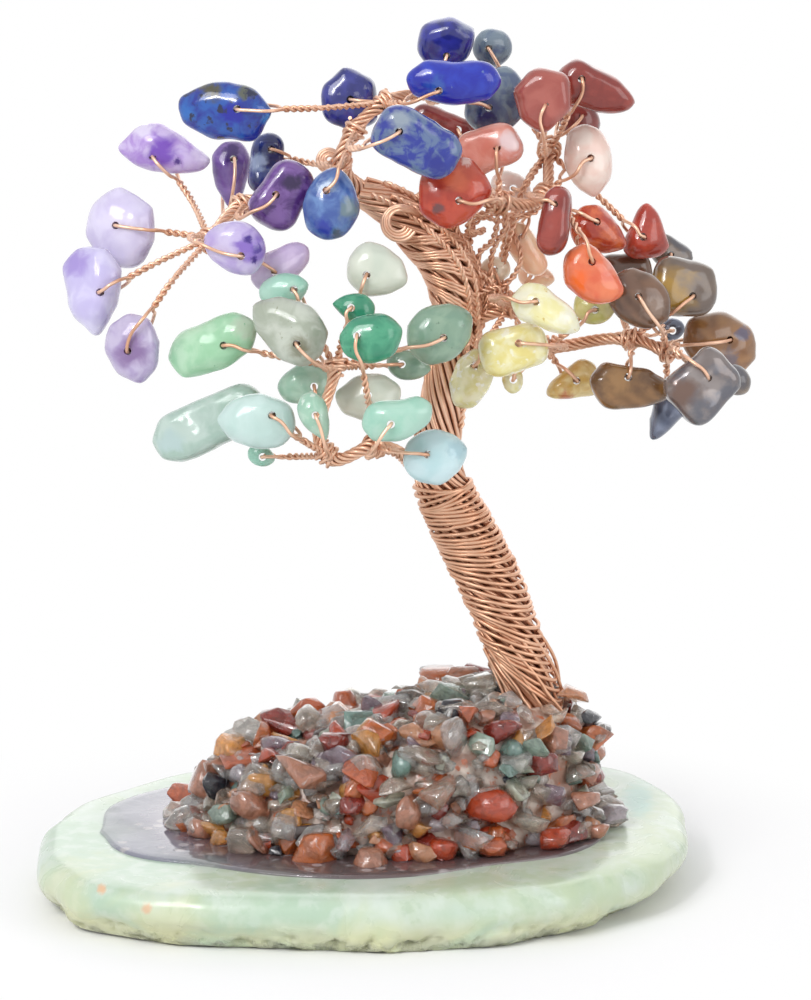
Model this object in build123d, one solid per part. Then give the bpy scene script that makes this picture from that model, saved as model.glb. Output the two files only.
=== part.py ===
"""A small ornamental tree of copper wire and drilled, tumbled stone chips.

A polished oval slab of banded green stone carries a heap of glued gravel. A trunk of many copper wires
rises out of the heap, is wrapped with a finer wire, and divides into ropes of twisted wire. Each rope
ends in a fork, and from a fork one twisted pair of wires runs to each stone, where it opens, passes
through the drilled hole and closes round the rim, so that the stone hangs on its own wire.

The frame stands on the middle of the slab's underside, +Z up, with the front of the tree towards -Y.
"""

import math
import os
import random

from build123d import *

# Driving sizes, in millimetres and degrees

board = 135.0  # height of the sight board that the places in the tree are shares of
sight_lean = 14.0  # the board leans back by this angle

slab_length = 88.0
slab_depth = 72.0
slab_thickness = 8.0
slab_corner_round = 13.0  # of the outline's corners, seen from above
slab_top_round = 3.0  # how far the polished edge reaches down from the top

film_length = 70.0
film_depth = 50.0
film_thickness = 0.5
film_corner_round = 7.0
film_offset = -1.5  # the glue has run this far to the left
heap_offset = 4.0  # and the heap lies this far to the right of the slab's middle

core_length = 53.0
core_depth = 35.0
core_height = 16.5
core_lean = 15.0  # the core's top stands this far to the right of its middle
core_sides = 14

chip_longest = 9.5
chip_shortest = 3.4
chip_spacing = 0.15  # least free room between two chips of gravel
chip_seat = 0.05  # room for glue between a chip and its seat
chip_tries = 3000
chip_sides = (5, 5, 6)

wire_diameter = 0.5
pair_diameter = 0.86  # over a twisted pair
rope_diameter = 2.0  # where a branch leaves the trunk
fork_diameter = 2.8  # over the knot at a fork
fork_length = 1.5  # from the middle of a knot to either end of it
curl_diameter = 1.6
seat_clearance = 0.1  # between a wire and what it lies on

trunk_radius = 3.9  # the widest place under the wrapping
wrap_lay = 0.12  # room between a wrap and the bundle under it

stone_length = 8.1
stone_thickness = 4.2
hole_diameter = 1.0
loop_gap = 1.6  # how far a loop closes beyond the rim of its stone
bow_share = 0.2  # how far a wire swings out before its loop, as a share of its length
flute_share = 0.88  # how deep the flutes reach, as a share of the bundle's radius
rope_taper_share = 0.4  # what a branch loses of its thickness towards its tip
curl_taper_share = 0.35
foot_share = 0.33  # the part of the trunk's length that gravel may lie round
probe_share = 0.004  # the step along the trunk that gives its heading

hole_sides = 6
wire_sides = 4
rope_sides = 6
trunk_flutes = 9
trunk_steps = 32
trunk_twist = -2.4  # turns of the bundle from root to tip, leftwards as it climbs
wrap_sides = 12  # straight runs in each turn of a wrap
curl_steps = 7
clearing_steps = 24

# Shapes of the stones

# Each outline runs once round the stone, in shares of half its length and half its width.
outline_shares = {
    "oval": [(1, 0), (0.72, 0.72), (0, 1), (-0.72, 0.72), (-1, 0), (-0.72, -0.72), (0, -1), (0.72, -0.72)],
    "egg": [(1, 0.05), (0.6, 0.72), (-0.1, 1), (-0.75, 0.8), (-1, 0.1), (-0.8, -0.65), (-0.1, -1),
            (0.62, -0.66)],
    "nugget": [(0.95, 0.25), (0.45, 0.95), (-0.35, 1), (-1, 0.3), (-0.85, -0.6), (-0.2, -0.97),
               (0.65, -0.85)],
    "tooth": [(1, -0.1), (0.45, 0.55), (-0.45, 1), (-0.95, 0.6), (-1, -0.35), (-0.6, -0.95), (0.3, -0.75)],
    "lens": [(1, -0.4), (0.4, 0.5), (-0.1, 1), (-0.55, 0.8), (-1, -0.15), (-0.55, -0.8), (0.2, -1),
             (0.75, -0.9)],
    "block": [(1, 0.55), (0.8, 0.95), (-0.75, 1), (-1, 0.6), (-0.95, -0.75), (-0.7, -1), (0.8, -0.9),
              (1, -0.5)],
    "kite": [(1, 0.1), (0.4, 0.95), (-0.6, 0.85), (-1, -0.1), (-0.7, -0.95), (0.45, -0.9)],
    "wedge": [(1, 0.05), (0.6, 0.45), (-0.7, 1), (-1, 0.55), (-0.95, -0.6), (-0.6, -1), (0.6, -0.4)],
    "arrow": [(1, -0.3), (0.45, 0.45), (-0.6, 1), (-1, 0.35), (-0.75, -0.75), (0.1, -1), (0.8, -0.75)],
    "bean": [(1, 0.15), (0.7, 0.82), (0.05, 0.9), (-0.6, 1), (-1, 0.3), (-0.85, -0.6), (-0.1, -0.95),
             (0.75, -0.7)],
    "bar": [(1, 0.3), (0.8, 0.9), (-0.75, 1), (-1, 0.35), (-0.95, -0.5), (-0.7, -1), (0.75, -0.95),
            (0.98, -0.4)],
}
# A profile gives the outline's size at places through the thickness, both as shares.
pillow_shares = [(-1, 0.56), (-0.36, 1), (0.36, 1), (1, 0.56)]
flat_shares = [(-1, 0.84), (-0.62, 1), (0.62, 1), (1, 0.84)]
flat_kinds = ("block", "kite", "arrow", "bar")

# Places in the tree, as shares of the board: to the right, up the board, and out towards the front.
fork_shares = {
    "amethyst": (-0.151, 0.58, 0.03),
    "amethyst_back": (-0.118, 0.614, -0.004),
    "lapis_low": (-0.022, 0.65, 0.01),
    "lapis_near": (-0.01, 0.684, 0),
    "lapis": (0.019, 0.712, -0.01),
    "lapis_top": (0.066, 0.724, -0.05),
    "jasper_top": (0.183, 0.668, -0.09),
    "jasper": (0.176, 0.622, -0.04),
    "jasper_near": (0.132, 0.615, 0.01),
    "citrine": (0.143, 0.513, 0),
    "citrine_low": (0.178, 0.474, -0.03),
    "tiger": (0.262, 0.482, -0.015),
    "tiger_tip": (0.298, 0.47, 0.005),
    "green": (-0.028, 0.452, 0.13),
    "green_low": (-0.034, 0.366, 0.15),
    "green_near": (0.012, 0.375, 0.15),
}

# One row for each stone: its node, its kind of outline, its place, its length, width and thickness as
# shares of the common stone, its roll, tip and turn in degrees, the place of its hole as shares of half
# its length and half its width, and the fork that its wire comes from.
stone_shares = [
    ("amethyst_crest", "lens", (-0.198, 0.671, -0.06), (1.62, 0.8, 0.9), (-4, 5, -12), (-0.15, -0.35),
     "amethyst"),
    ("amethyst_small", "tooth", (-0.132, 0.645, -0.08), (1.13, 0.67, 0.8), (-88, 0, 15), (-0.45, 0),
     "amethyst_back"),
    ("amethyst_small", "bar", (-0.08, 0.62, 0.05), (1.13, 0.77, 1), (55, 5, 10), (-0.1, 0.35),
     "amethyst_back"),
    ("amethyst_broad", "nugget", (-0.237, 0.59, 0.01), (1.38, 1.22, 1.05), (80, 0, -22), (0.05, 0),
     "amethyst"),
    ("amethyst_pear", "tooth", (-0.264, 0.526, 0.05), (1.53, 1.1, 1.05), (-85, 5, -25), (0, 0.45),
     "amethyst"),
    ("amethyst_small", "egg", (-0.225, 0.47, 0.1), (1.17, 0.97, 0.9), (-82, 8, -18), (0, 0), "amethyst"),
    ("amethyst_veined", "egg", (-0.125, 0.569, 0.11), (1.1, 0.87, 1), (160, 5, -5), (-0.3, 0.2),
     "amethyst"),
    ("amethyst_small", "bean", (-0.081, 0.551, 0.065), (1.17, 0.6, 0.8), (32, 0, 12), (-0.3, 0),
     "amethyst"),
    ("lapis_broad", "nugget", (-0.134, 0.701, 0.04), (1.65, 0.97, 0.95), (-8, 10, -10), (0.26, 0.25),
     "lapis"),
    ("lapis_small", "bar", (-0.097, 0.655, -0.035), (0.97, 0.52, 0.8), (85, 0, 20), (0.45, 0), "lapis_low"),
    ("lapis_hexagon", "kite", (-0.015, 0.718, -0.045), (1.07, 0.87, 0.95), (92, 5, -8), (0, -0.15),
     "lapis"),
    ("lapis_oval", "egg", (-0.031, 0.612, 0.075), (1.23, 0.9, 1), (83, 0, 0), (0.3, 0.25), "lapis_low"),
    ("lapis_block", "block", (0.052, 0.669, 0.105), (1.42, 0.85, 0.95), (-25, 8, 8), (-0.55, 0.11),
     "lapis_near"),
    ("lapis_bar", "bean", (0.088, 0.73, 0.02), (1.58, 0.78, 0.95), (0, 12, 5), (-0.34, -0.2), "lapis"),
    ("lapis_small", "kite", (0.082, 0.774, -0.06), (1.05, 0.8, 0.95), (18, 25, 0), (-0.1, -0.3),
     "lapis_top"),
    ("lapis_small", "oval", (0.127, 0.772, -0.11), (0.74, 0.68, 0.8), (-30, 20, 15), (-0.35, -0.1),
     "jasper_top"),
    ("lapis_grey", "egg", (0.132, 0.718, -0.06), (1.25, 1.02, 0.95), (70, 5, 12), (-0.3, 0.3), "lapis_top"),
    ("jasper_small", "kite", (0.177, 0.718, -0.015), (1, 0.92, 0.9), (38, 5, -5), (-0.1, -0.25),
     "jasper_top"),
    ("jasper_arrow", "arrow", (0.229, 0.731, -0.07), (1.33, 0.8, 0.95), (-10, 10, 12), (-0.5, 0.25),
     "jasper_top"),
    ("jasper_small", "oval", (0.213, 0.701, -0.125), (0.8, 0.62, 0.8), (-50, 0, 25), (-0.2, 0),
     "jasper_top"),
    ("jasper_small", "bar", (0.08, 0.697, -0.15), (1.15, 0.42, 0.7), (-22, 0, 0), (0.4, 0), "jasper_near"),
    ("peach_chips", "egg", (0.221, 0.657, -0.06), (1.27, 0.83, 1), (-80, 0, 22), (-0.1, -0.15), "jasper"),
    ("carnelian_large", "nugget", (0.088, 0.625, 0.07), (1.3, 1.1, 1.05), (48, 0, 5), (-0.15, -0.3),
     "jasper_near"),
    ("peach_chips", "block", (0.122, 0.667, -0.005), (1.05, 0.7, 0.8), (18, 0, -10), (0.35, -0.1),
     "jasper_near"),
    ("peach_chips", "oval", (0.146, 0.634, -0.12), (0.75, 0.56, 0.75), (-30, 0, 0), (0.1, 0), "jasper"),
    ("jasper_small", "bar", (0.187, 0.596, 0.06), (1.12, 0.42, 0.9), (82, 0, -12), (0.45, 0), "jasper"),
    ("jasper_small", "tooth", (0.234, 0.588, -0.04), (0.98, 0.78, 0.9), (-25, 0, 15), (-0.4, 0.2),
     "jasper"),
    ("jasper_wedge", "wedge", (0.28, 0.591, -0.08), (0.98, 0.84, 0.9), (92, 5, 20), (-0.2, 0.35),
     "jasper_top"),
    ("carnelian_orange", "arrow", (0.226, 0.544, 0.06), (1.1, 0.92, 0.95), (-18, 5, 15), (-0.35, 0.35),
     "jasper"),
    ("peach_chips", "bar", (0.16, 0.571, -0.045), (1, 0.42, 0.65), (-55, 0, 15), (-0.45, 0), "jasper"),
    ("citrine_long", "tooth", (0.18, 0.506, 0.12), (1.3, 0.72, 0.9), (-28, -4, -8), (-0.35, 0.1),
     "citrine"),
    ("citrine_small", "block", (0.146, 0.47, 0.08), (1.08, 0.72, 0.9), (14, 0, 0), (0.2, 0.2),
     "citrine_low"),
    ("citrine_clear", "nugget", (0.106, 0.442, 0.046), (1.05, 0.66, 0.85), (68, 0, -10), (0.4, 0),
     "citrine"),
    ("citrine_small", "egg", (0.147, 0.44, 0), (0.5, 0.42, 0.55), (-95, 0, 0), (-0.1, 0), "citrine_low"),
    ("citrine_small", "wedge", (0.206, 0.438, -0.04), (0.98, 0.72, 0.8), (-160, 0, 10), (-0.1, -0.1),
     "citrine_low"),
    ("citrine_small", "egg", (0.228, 0.513, -0.01), (0.75, 0.62, 0.75), (-20, 0, 12), (-0.1, -0.2),
     "citrine_low"),
    ("peach_chips", "egg", (0.172, 0.545, -0.1), (0.72, 0.48, 0.65), (-10, 0, 0), (-0.3, 0), "citrine"),
    ("citrine_small", "oval", (0.128, 0.55, -0.025), (0.56, 0.44, 0.6), (20, 0, 0), (0, 0), "citrine"),
    ("tiger_eye_banded", "block", (0.316, 0.533, -0.03), (1.05, 0.92, 0.95), (-8, 0, 18), (0.15, -0.3),
     "tiger"),
    ("tiger_eye_small", "block", (0.258, 0.55, -0.09), (0.85, 0.62, 0.85), (5, 0, 10), (0, -0.3), "tiger"),
    ("tiger_eye_dark", "egg", (0.271, 0.519, 0.03), (1.18, 0.95, 0.95), (-38, 0, 8), (-0.15, 0),
     "tiger_tip"),
    ("tiger_eye_broad", "nugget", (0.354, 0.475, -0.065), (1.42, 1.1, 1.05), (-28, 5, 22),
     (-0.05, 0.25), "tiger_tip"),
    ("tiger_eye_faceted", "arrow", (0.263, 0.437, 0.035), (1.33, 0.8, 0.95), (8, 5, 5), (-0.1, 0.35),
     "tiger"),
    ("hematite_chips", "block", (0.332, 0.434, 0.075), (1.12, 0.92, 1), (40, 5, 12), (0.2, 0.25),
     "tiger_tip"),
    ("hematite_chips", "tooth", (0.298, 0.408, 0), (0.98, 0.58, 0.85), (-115, 0, 10), (-0.5, 0),
     "tiger_tip"),
    ("tiger_eye_small", "oval", (0.307, 0.493, -0.1), (0.5, 0.44, 0.6), (0, 0, 0), (0, -0.1), "tiger"),
    ("tiger_eye_small", "egg", (0.366, 0.44, 0), (0.62, 0.5, 0.7), (-40, 0, 15), (-0.3, 0), "tiger_tip"),
    ("tiger_eye_small", "bar", (0.306, 0.57, -0.12), (0.76, 0.48, 0.7), (-30, 0, 15), (-0.1, -0.3),
     "tiger_tip"),
    ("green_small", "egg", (0.014, 0.545, 0.09), (1.05, 0.9, 0.95), (-22, 0, -5), (-0.25, -0.25), "green"),
    ("green_small", "tooth", (-0.012, 0.509, 0.14), (0.78, 0.54, 0.75), (172, 0, 0), (0, 0), "green"),
    ("emerald_middle", "nugget", (0.008, 0.478, 0.2), (1.12, 0.8, 0.9), (8, 0, 0), (-0.4, 0.2),
     "green_near"),
    ("sage_round", "egg", (0.075, 0.485, 0.12), (1.2, 1, 1), (28, 0, 8), (-0.05, -0.15), "green"),
    ("green_small", "egg", (0.044, 0.454, 0.08), (0.78, 0.48, 0.7), (-12, 0, 0), (-0.3, 0), "green"),
    ("grey_green_broad", "egg", (-0.072, 0.49, 0.15), (1.45, 1, 1), (145, 5, -12), (-0.4, 0.2), "green"),
    ("green_small", "egg", (-0.077, 0.526, 0.11), (0.92, 0.6, 0.75), (15, 0, -10), (0.4, -0.1), "green"),
    ("green_bean", "bean", (-0.146, 0.473, 0.11), (1.65, 0.9, 0.95), (24, 0, -20), (0.3, -0.25), "green"),
    ("sage_bar", "bar", (-0.152, 0.398, 0.095), (1.98, 0.78, 1), (26, 0, -15), (0.6, 0.1), "green_low"),
    ("aqua_egg", "egg", (-0.104, 0.399, 0.165), (1.32, 0.95, 1), (175, 5, -10), (-0.45, -0.3), "green_low"),
    ("green_small", "nugget", (-0.055, 0.436, 0.09), (0.95, 0.66, 0.8), (15, 0, 0), (0.2, -0.2),
     "green_low"),
    ("green_small", "tooth", (-0.045, 0.402, 0.19), (0.95, 0.5, 0.7), (-65, 0, 0), (-0.1, 0), "green_low"),
    ("green_small", "nugget", (0.006, 0.423, 0.095), (1.12, 0.8, 0.9), (5, 0, 0), (-0.05, 0.1),
     "green_near"),
    ("green_small", "bean", (0.033, 0.4, 0.22), (1.22, 0.72, 0.9), (18, 0, 0), (-0.2, -0.1), "green_near"),
    ("green_small", "egg", (0.071, 0.364, 0.18), (1.1, 0.92, 0.95), (15, 5, 8), (-0.3, 0.25), "green_near"),
    ("green_small", "egg", (-0.102, 0.366, 0.11), (0.56, 0.44, 0.6), (-20, 0, 0), (0.2, 0), "green_low"),
]

# The trunk's middle line on the board, and its thickness as a share of trunk_radius.
trunk_shares = [
    (0.176, -0.008, 0, 0.8),
    (0.172, 0.046, 0, 0.8),
    (0.168, 0.09, 0, 0.8),
    (0.163, 0.133, 0, 0.84),
    (0.143, 0.193, 0, 0.94),
    (0.119, 0.253, 0, 1),
    (0.094, 0.303, 0, 0.96),
    (0.076, 0.343, 0, 0.88),
    (0.072, 0.383, 0, 0.8),
    (0.077, 0.423, 0, 0.76),
    (0.087, 0.473, 0, 0.76),
    (0.091, 0.513, 0, 0.82),
    (0.083, 0.553, 0, 0.88),
    (0.06, 0.583, 0, 0.86),
    (0.03, 0.608, 0, 0.72),
    (-0.006, 0.627, 0, 0.52),
]
# Each wrap runs between two shares of the trunk's length, in so many turns.
wrap_shares = {"lower_wrap": (0.255, 0.35, 11), "upper_wrap": (0.36, 0.453, 9)}

# Each rope starts inside the trunk and passes through its forks, named or placed on the board.
rope_stop_shares = {
    "lapis_branch": [(-0.002, 0.628, 0.004), "lapis_low", "lapis_near", "lapis", "lapis_top"],
    "amethyst_branch": [(0, 0.622, 0), (-0.04, 0.624, 0.004),
                        (-0.075, 0.616, 0), "amethyst_back", "amethyst"],
    "jasper_branch": [(0.04, 0.606, 0), (0.075, 0.628, -0.012), "jasper_near", "jasper", "jasper_top"],
    "citrine_branch": [(0.09, 0.494, 0), "citrine"],
    "tiger_branch": [(0.085, 0.462, 0), (0.128, 0.478, -0.03), "citrine_low", "tiger", "tiger_tip"],
    "green_branch": [(0.076, 0.35, 0), (0.055, 0.35, 0.08), "green_near", "green_low", "green"],
}
# Each curl leaves the trunk at its first place and bends round its second. Its radius is a share of its
# thickness, and it runs from one share of a turn to another.
curl_shares = [
    ((-0.002, 0.624, -0.004), (-0.035, 0.658, -0.05), 0.94, (-0.056, 0.694)),
    ((0.045, 0.602, 0), (0.042, 0.594, 0.036), 1.44, (0.167, -0.528)),
]
wire_groups = {
    "amethyst_wires": ("amethyst", "amethyst_back"),
    "lapis_wires": ("lapis_low", "lapis_near", "lapis", "lapis_top"),
    "jasper_wires": ("jasper_top", "jasper", "jasper_near"),
    "citrine_wires": ("citrine", "citrine_low"),
    "tiger_wires": ("tiger", "tiger_tip"),
    "green_wires": ("green", "green_low", "green_near"),
}
# Outlines seen from above, in shares of half the length and half the depth.
slab_outline_shares = [(-1, -0.44), (-0.87, -0.82), (-0.52, -1), (0.16, -1), (0.62, -0.86), (0.9, -0.5)]
slab_outline_shares += [(1, -0.1)]
slab_outline_shares += [(1, 0.4), (0.84, 0.84), (0.46, 1), (-0.12, 0.98), (-0.6, 0.78), (-0.9, 0.36)]
slab_outline_shares += [(-1, 0)]
film_outline_shares = [(-1, -0.2), (-0.84, -0.62), (-0.5, -0.66), (-0.2, -0.98), (0.2, -1), (0.52, -0.78)]
film_outline_shares += [(0.9, -0.56), (1, 0.1), (0.8, 0.72), (0.2, 1), (-0.5, 0.88), (-0.96, 0.4)]
# Where the slab's lower rim has broken away: the side, as a share of a turn from the right, how far in,
# as a share of the way to the middle, and how high, as a share of the thickness.
break_shares = [(0, 0.2, 0.5), (-0.075, 0.13, 0.42), (-0.15, 0.07, 0.3), (-0.215, 0.035, 0.2)]
break_shares += [(-0.27, 0.05, 0.27)]
break_shares += [(-0.33, 0.03, 0.2), (-0.395, 0.08, 0.4), (-0.46, 0.05, 0.3), (0.46, 0.05, 0.25)]
break_shares += [(0.38, 0.06, 0.3), (0.3, 0.05, 0.2), (0.22, 0.06, 0.3), (0.14, 0.07, 0.28)]
break_shares += [(0.07, 0.1, 0.4)]
core_profile_shares = [(0, 1), (0.36, 0.95), (0.7, 0.85), (0.9, 0.72), (1, 0.52)]
# A chip of gravel: its least side and least width, how far its top may shift, its least and greatest
# height, and the sizes of its foot and top.
chip_side_share = 0.82
chip_width_share = 0.7
chip_shift_share = 0.12
chip_height_shares = (0.34, 0.6)
chip_taper_shares = [(0.84, 1), (1, 0.6), (1, 0.76)]
chip_ease_share = 1.2  # how fast the chips get smaller from the first to the last
chip_reach_share = 0.4  # how far the gravel lies beyond the core, as a share of the longest chip
gravel_shares = {
    "gravel_red": 0.3,
    "gravel_clear": 0.26,
    "gravel_orange": 0.16,
    "gravel_green": 0.14,
    "gravel_violet": 0.07,
    "gravel_black": 0.07,
}

lean = math.radians(sight_lean)
wire_radius = wire_diameter / 2
pair_radius = pair_diameter / 2
film_top = slab_thickness + film_thickness


def place(shares):
    """A point of the tree from its shares of the board."""
    right, up, front = (share * board for share in shares)
    return Vector(right, -front, slab_thickness + (up + front * math.sin(lean)) / math.cos(lean))


def flat(*corners):
    return Face(Wire.make_polygon(corners, close=True))


def skinned(rings, split=False):
    """A solid with flat sides through rings that have as many corners each."""
    faces = [flat(*rings[0]), flat(*rings[-1])]
    for lower, upper in zip(rings, rings[1:]):
        for a, b, c, d in zip(lower, lower[1:] + lower[:1], upper[1:] + upper[:1], upper):
            faces += [flat(a, b, c), flat(a, c, d)] if split else [flat(a, b, c, d)]
    return Solid(Shell(faces))


def tube(points, radii, sides):
    """A wire or rope of flat sides along straight runs that meet in mitres."""
    runs = [after - before for before, after in zip(points, points[1:])]
    first = Plane(origin=points[0], z_dir=runs[0])
    angles = [math.tau * (corner + 0.5) / sides for corner in range(sides)]
    rings = [[first.from_local_coords((radii[0] * math.cos(a), radii[0] * math.sin(a), 0)) for a in angles]]
    for index in range(1, len(points)):
        run = runs[index - 1]
        onward = runs[min(index, len(runs) - 1)]
        mitre = run.normalized() + onward.normalized()
        narrowing = 1 - radii[index] / radii[index - 1]
        ring = []
        for corner in rings[-1]:
            slide = run - (corner - points[index - 1]) * narrowing
            ring.append(corner + slide * ((points[index] - corner).dot(mitre) / slide.dot(mitre)))
        rings.append(ring)
    return skinned(rings)


# Stones and their wires


def stone_frame(row):
    """A stone's own plane: x along its length, y across it, z out of its face towards the front."""
    roll, tip, turn = row[4]
    sight = Plane(origin=place(row[2]), x_dir=(1, 0, 0), z_dir=(0, -math.cos(lean), math.sin(lean)))
    return Plane(sight * Rot(0, turn, 0) * Rot(tip, 0, 0) * Rot(0, 0, roll))


def stone_size(row):
    long_share, wide_share, thick_share = row[3]
    return long_share * stone_length, wide_share * stone_length, thick_share * stone_thickness


def stone_outline(row):
    """The widest outline of a stone, in its own plane."""
    length, width, _ = stone_size(row)
    return [(x * length / 2, y * width / 2) for x, y in outline_shares[row[1]]]


def hole_place(row):
    length, width, _ = stone_size(row)
    return row[5][0] * length / 2, row[5][1] * width / 2


def stone_solid(row):
    """A tumbled chip: its outline lofted through its profile, with the drilled hole."""
    thickness = stone_size(row)[2]
    profile = flat_shares if row[1] in flat_kinds else pillow_shares
    outline = stone_outline(row)
    rings = [[(x * grow, y * grow, level * thickness / 2) for x, y in outline] for level, grow in profile]
    drill = extrude(RegularPolygon(hole_diameter / 2, hole_sides), thickness, both=True)
    chip = Part(skinned(rings).wrapped) - Pos(*hole_place(row)) * drill
    return stone_frame(row).location * chip.solid()


def rim_reach(outline, start, heading):
    """How far the rim lies from start in a heading, in the stone's plane."""
    reach = 0
    for (ax, ay), (bx, by) in zip(outline, outline[1:] + outline[:1]):
        ex, ey = bx - ax, by - ay
        across = heading[0] * ey - heading[1] * ex
        if across == 0:
            continue
        share = ((ax - start[0]) * heading[1] - (ay - start[1]) * heading[0]) / across
        if 0 <= share <= 1:
            reach = max(reach, ((ax - start[0]) * ey - (ay - start[1]) * ex) / across)
    return reach


def stone_wire_line(row):
    """The middle line of a stone's wire from its fork, and its radius at each place."""
    frame = stone_frame(row)
    hole = hole_place(row)
    fork = place(fork_shares[row[6]])
    fork_here = frame.to_local_coords(fork)
    away = Vector(fork_here.X - hole[0], fork_here.Y - hole[1], 0).normalized()
    rim = rim_reach(stone_outline(row), hole, (away.X, away.Y))
    facing = -1 if fork_here.Z > 0 else 1
    height = facing * (stone_size(row)[2] / 2 + wire_radius + seat_clearance)
    middle = Vector(hole[0], hole[1], 0)
    tail = facing * (pair_radius + wire_radius + seat_clearance)

    def beside(reach, level):
        return frame.from_local_coords(middle + away * reach + Vector(0, 0, level))

    loop = [
        beside(rim + wire_radius, height),
        beside(0, height),
        beside(0, -height),
        beside(rim + wire_radius, -height),
        beside(rim + loop_gap, -tail),
    ]
    root = beside(rim + loop_gap, 0)
    start = fork + (root - fork).normalized() * (fork_diameter / 2 + pair_radius + seat_clearance)
    bow = root + (root - beside(0, 0)).normalized() * ((start - root).length * bow_share)
    stem = [start, start / 4 + bow / 2 + root / 4, root]
    return stem + loop, [pair_radius] * len(stem) + [wire_radius] * len(loop)


# Trunk, wraps, curls and ropes


def trunk_at(share):
    """The trunk's middle line and radius at a share of its length: a smooth line through its places."""
    last = len(trunk_shares) - 1
    step = min(int(share * last), last - 1)
    part = share * last - step
    near = [trunk_shares[min(max(step + shift, 0), last)] for shift in (-1, 0, 1, 2)]
    line = []
    for a, b, c, d in zip(*near):
        bend = 2 * a - 5 * b + 4 * c - d + part * (3 * (b - c) + d - a)
        line.append(b + part * (c - a + part * bend) / 2)
    return place(line[:3]), line[3] * trunk_radius


def trunk_rings(shares, ring_of):
    """Rings of points round the trunk, on planes turned as little as may be from one to the next."""
    rings = []
    side = Vector(1, 0, 0)
    for index, share in enumerate(shares):
        middle, radius = trunk_at(share)
        after, before = trunk_at(min(share + probe_share, 1))[0], trunk_at(max(share - probe_share, 0))[0]
        heading = (after - before).normalized()
        side = (side - heading * side.dot(heading)).normalized()
        level = Plane(origin=middle, x_dir=side, z_dir=heading)
        rings.append([level.from_local_coords((x, y, 0)) for x, y in ring_of(index, share, radius)])
    return rings


def trunk_bundle(margin=0):
    """The bundle of branch wires, twisted, with a flute between each wire and the next."""

    def ring_of(index, share, radius):
        ring = []
        for corner in range(2 * trunk_flutes):
            angle = math.tau * (corner / (2 * trunk_flutes) + trunk_twist * share)
            reach = (radius + margin) * (1 if corner % 2 else flute_share)
            ring.append((reach * math.cos(angle), reach * math.sin(angle)))
        return ring

    return skinned(trunk_rings([step / trunk_steps for step in range(trunk_steps + 1)], ring_of),
     split=True)


def wrap(name):
    """One unbroken wire wound round the bundle."""
    begin, end, turns = wrap_shares[name]
    steps = turns * wrap_sides
    corner_reach = 1 / math.cos(math.pi / wrap_sides)

    def ring_of(index, share, radius):
        reach = (radius + wrap_lay + wire_radius) * corner_reach
        angle = math.tau * index / wrap_sides
        return [(reach * math.cos(angle), reach * math.sin(angle))]

    shares = [begin + (end - begin) * step / steps for step in range(steps + 1)]
    line = [ring[0] for ring in trunk_rings(shares, ring_of)]
    gap = min((line[a] - line[a + wrap_sides]).length for a in range(steps - wrap_sides))
    print(name, "least gap between turns", round(gap - wire_diameter, 2))
    return tube(line, [wire_radius] * len(line), wire_sides)


def curl(root, middle_shares, radius_share, turn_shares):
    """A hooked end of the bundle, bent round in the board's plane."""
    begin, end = turn_shares
    middle = place(middle_shares)
    radius = curl_diameter * radius_share
    up = Vector(0, math.sin(lean), math.cos(lean))
    points, radii = [place(root)], [curl_diameter / 2]
    for step in range(curl_steps + 1):
        angle = math.tau * (begin + (end - begin) * step / curl_steps)
        across = Vector(1, 0, 0) * math.cos(angle)
        points.append(middle + (across + up * math.sin(angle)) * radius)
        radii.append(curl_diameter / 2 * (1 - curl_taper_share * step / curl_steps))
    return tube(points, radii, rope_sides)


def rope(stops):
    """A branch: a rope that tapers from the trunk and swells to a knot at each fork."""
    middles = [place(fork_shares[stop] if isinstance(stop, str) else stop) for stop in stops]
    points, radii = [], []
    for index, (stop, middle) in enumerate(zip(stops, middles)):
        waist = rope_diameter / 2 * (1 - rope_taper_share * index / len(stops))
        if not isinstance(stop, str):
            points.append(middle)
            radii.append(waist)
            continue
        before = (middles[index - 1] - middle).normalized()
        points += [middle + before * fork_length, middle]
        radii += [waist, fork_diameter / 2]
        if index + 1 < len(stops):
            after = (middles[index + 1] - middle).normalized()
        else:
            after = before * -1
        points.append(middle + after * fork_length)
        radii.append(waist)
    return tube(points, radii, rope_sides)


# Slab, glue and gravel


def outline_points(shares, length, depth):
    return [(x * length / 2, y * depth / 2) for x, y in shares]


def rounded_plate(points, corner_round, thickness):
    """A plate of some outline with its corners rounded."""
    return extrude(make_face(FilletPolyline(*points, radius=corner_round, close=True)), thickness)


def rim_break(outline, turn_share, inward_share, rise_share):
    """The room under a plane that slopes up through the slab's lower rim on one side."""
    angle = math.tau * turn_share
    heading = (math.cos(angle), math.sin(angle))
    rim = rim_reach(outline, (0, 0), heading)
    inward = rim * inward_share
    rise = slab_thickness * rise_share
    outward = Vector(*heading)
    along = outward * inward + Vector(0, 0, rise)
    across = Vector(0, 0, 1) * inward - outward * rise
    slope = Plane(origin=outward * (rim - inward), x_dir=along, z_dir=across)
    return slope * Pos(0, 0, -slab_thickness / 2) * Box(slab_length, slab_length, slab_thickness)


def base_slab():
    """The polished slab: rounded along the top, and broken away here and there along its lower rim."""
    outline = outline_points(slab_outline_shares, slab_length, slab_depth)
    slab = rounded_plate(outline, slab_corner_round, slab_thickness)
    slab = fillet(slab.faces().sort_by(Axis.Z)[-1].edges(), slab_top_round)
    for shares in break_shares:
        slab = slab - rim_break(outline, *shares)
    return slab.solid()


def glue_film():
    """The puddle of clear glue that has run out round the heap."""
    outline = outline_points(film_outline_shares, film_length, film_depth)
    puddle = rounded_plate(outline, film_corner_round, film_thickness)
    return (Pos(film_offset, 0, slab_thickness) * puddle).solid()


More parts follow.
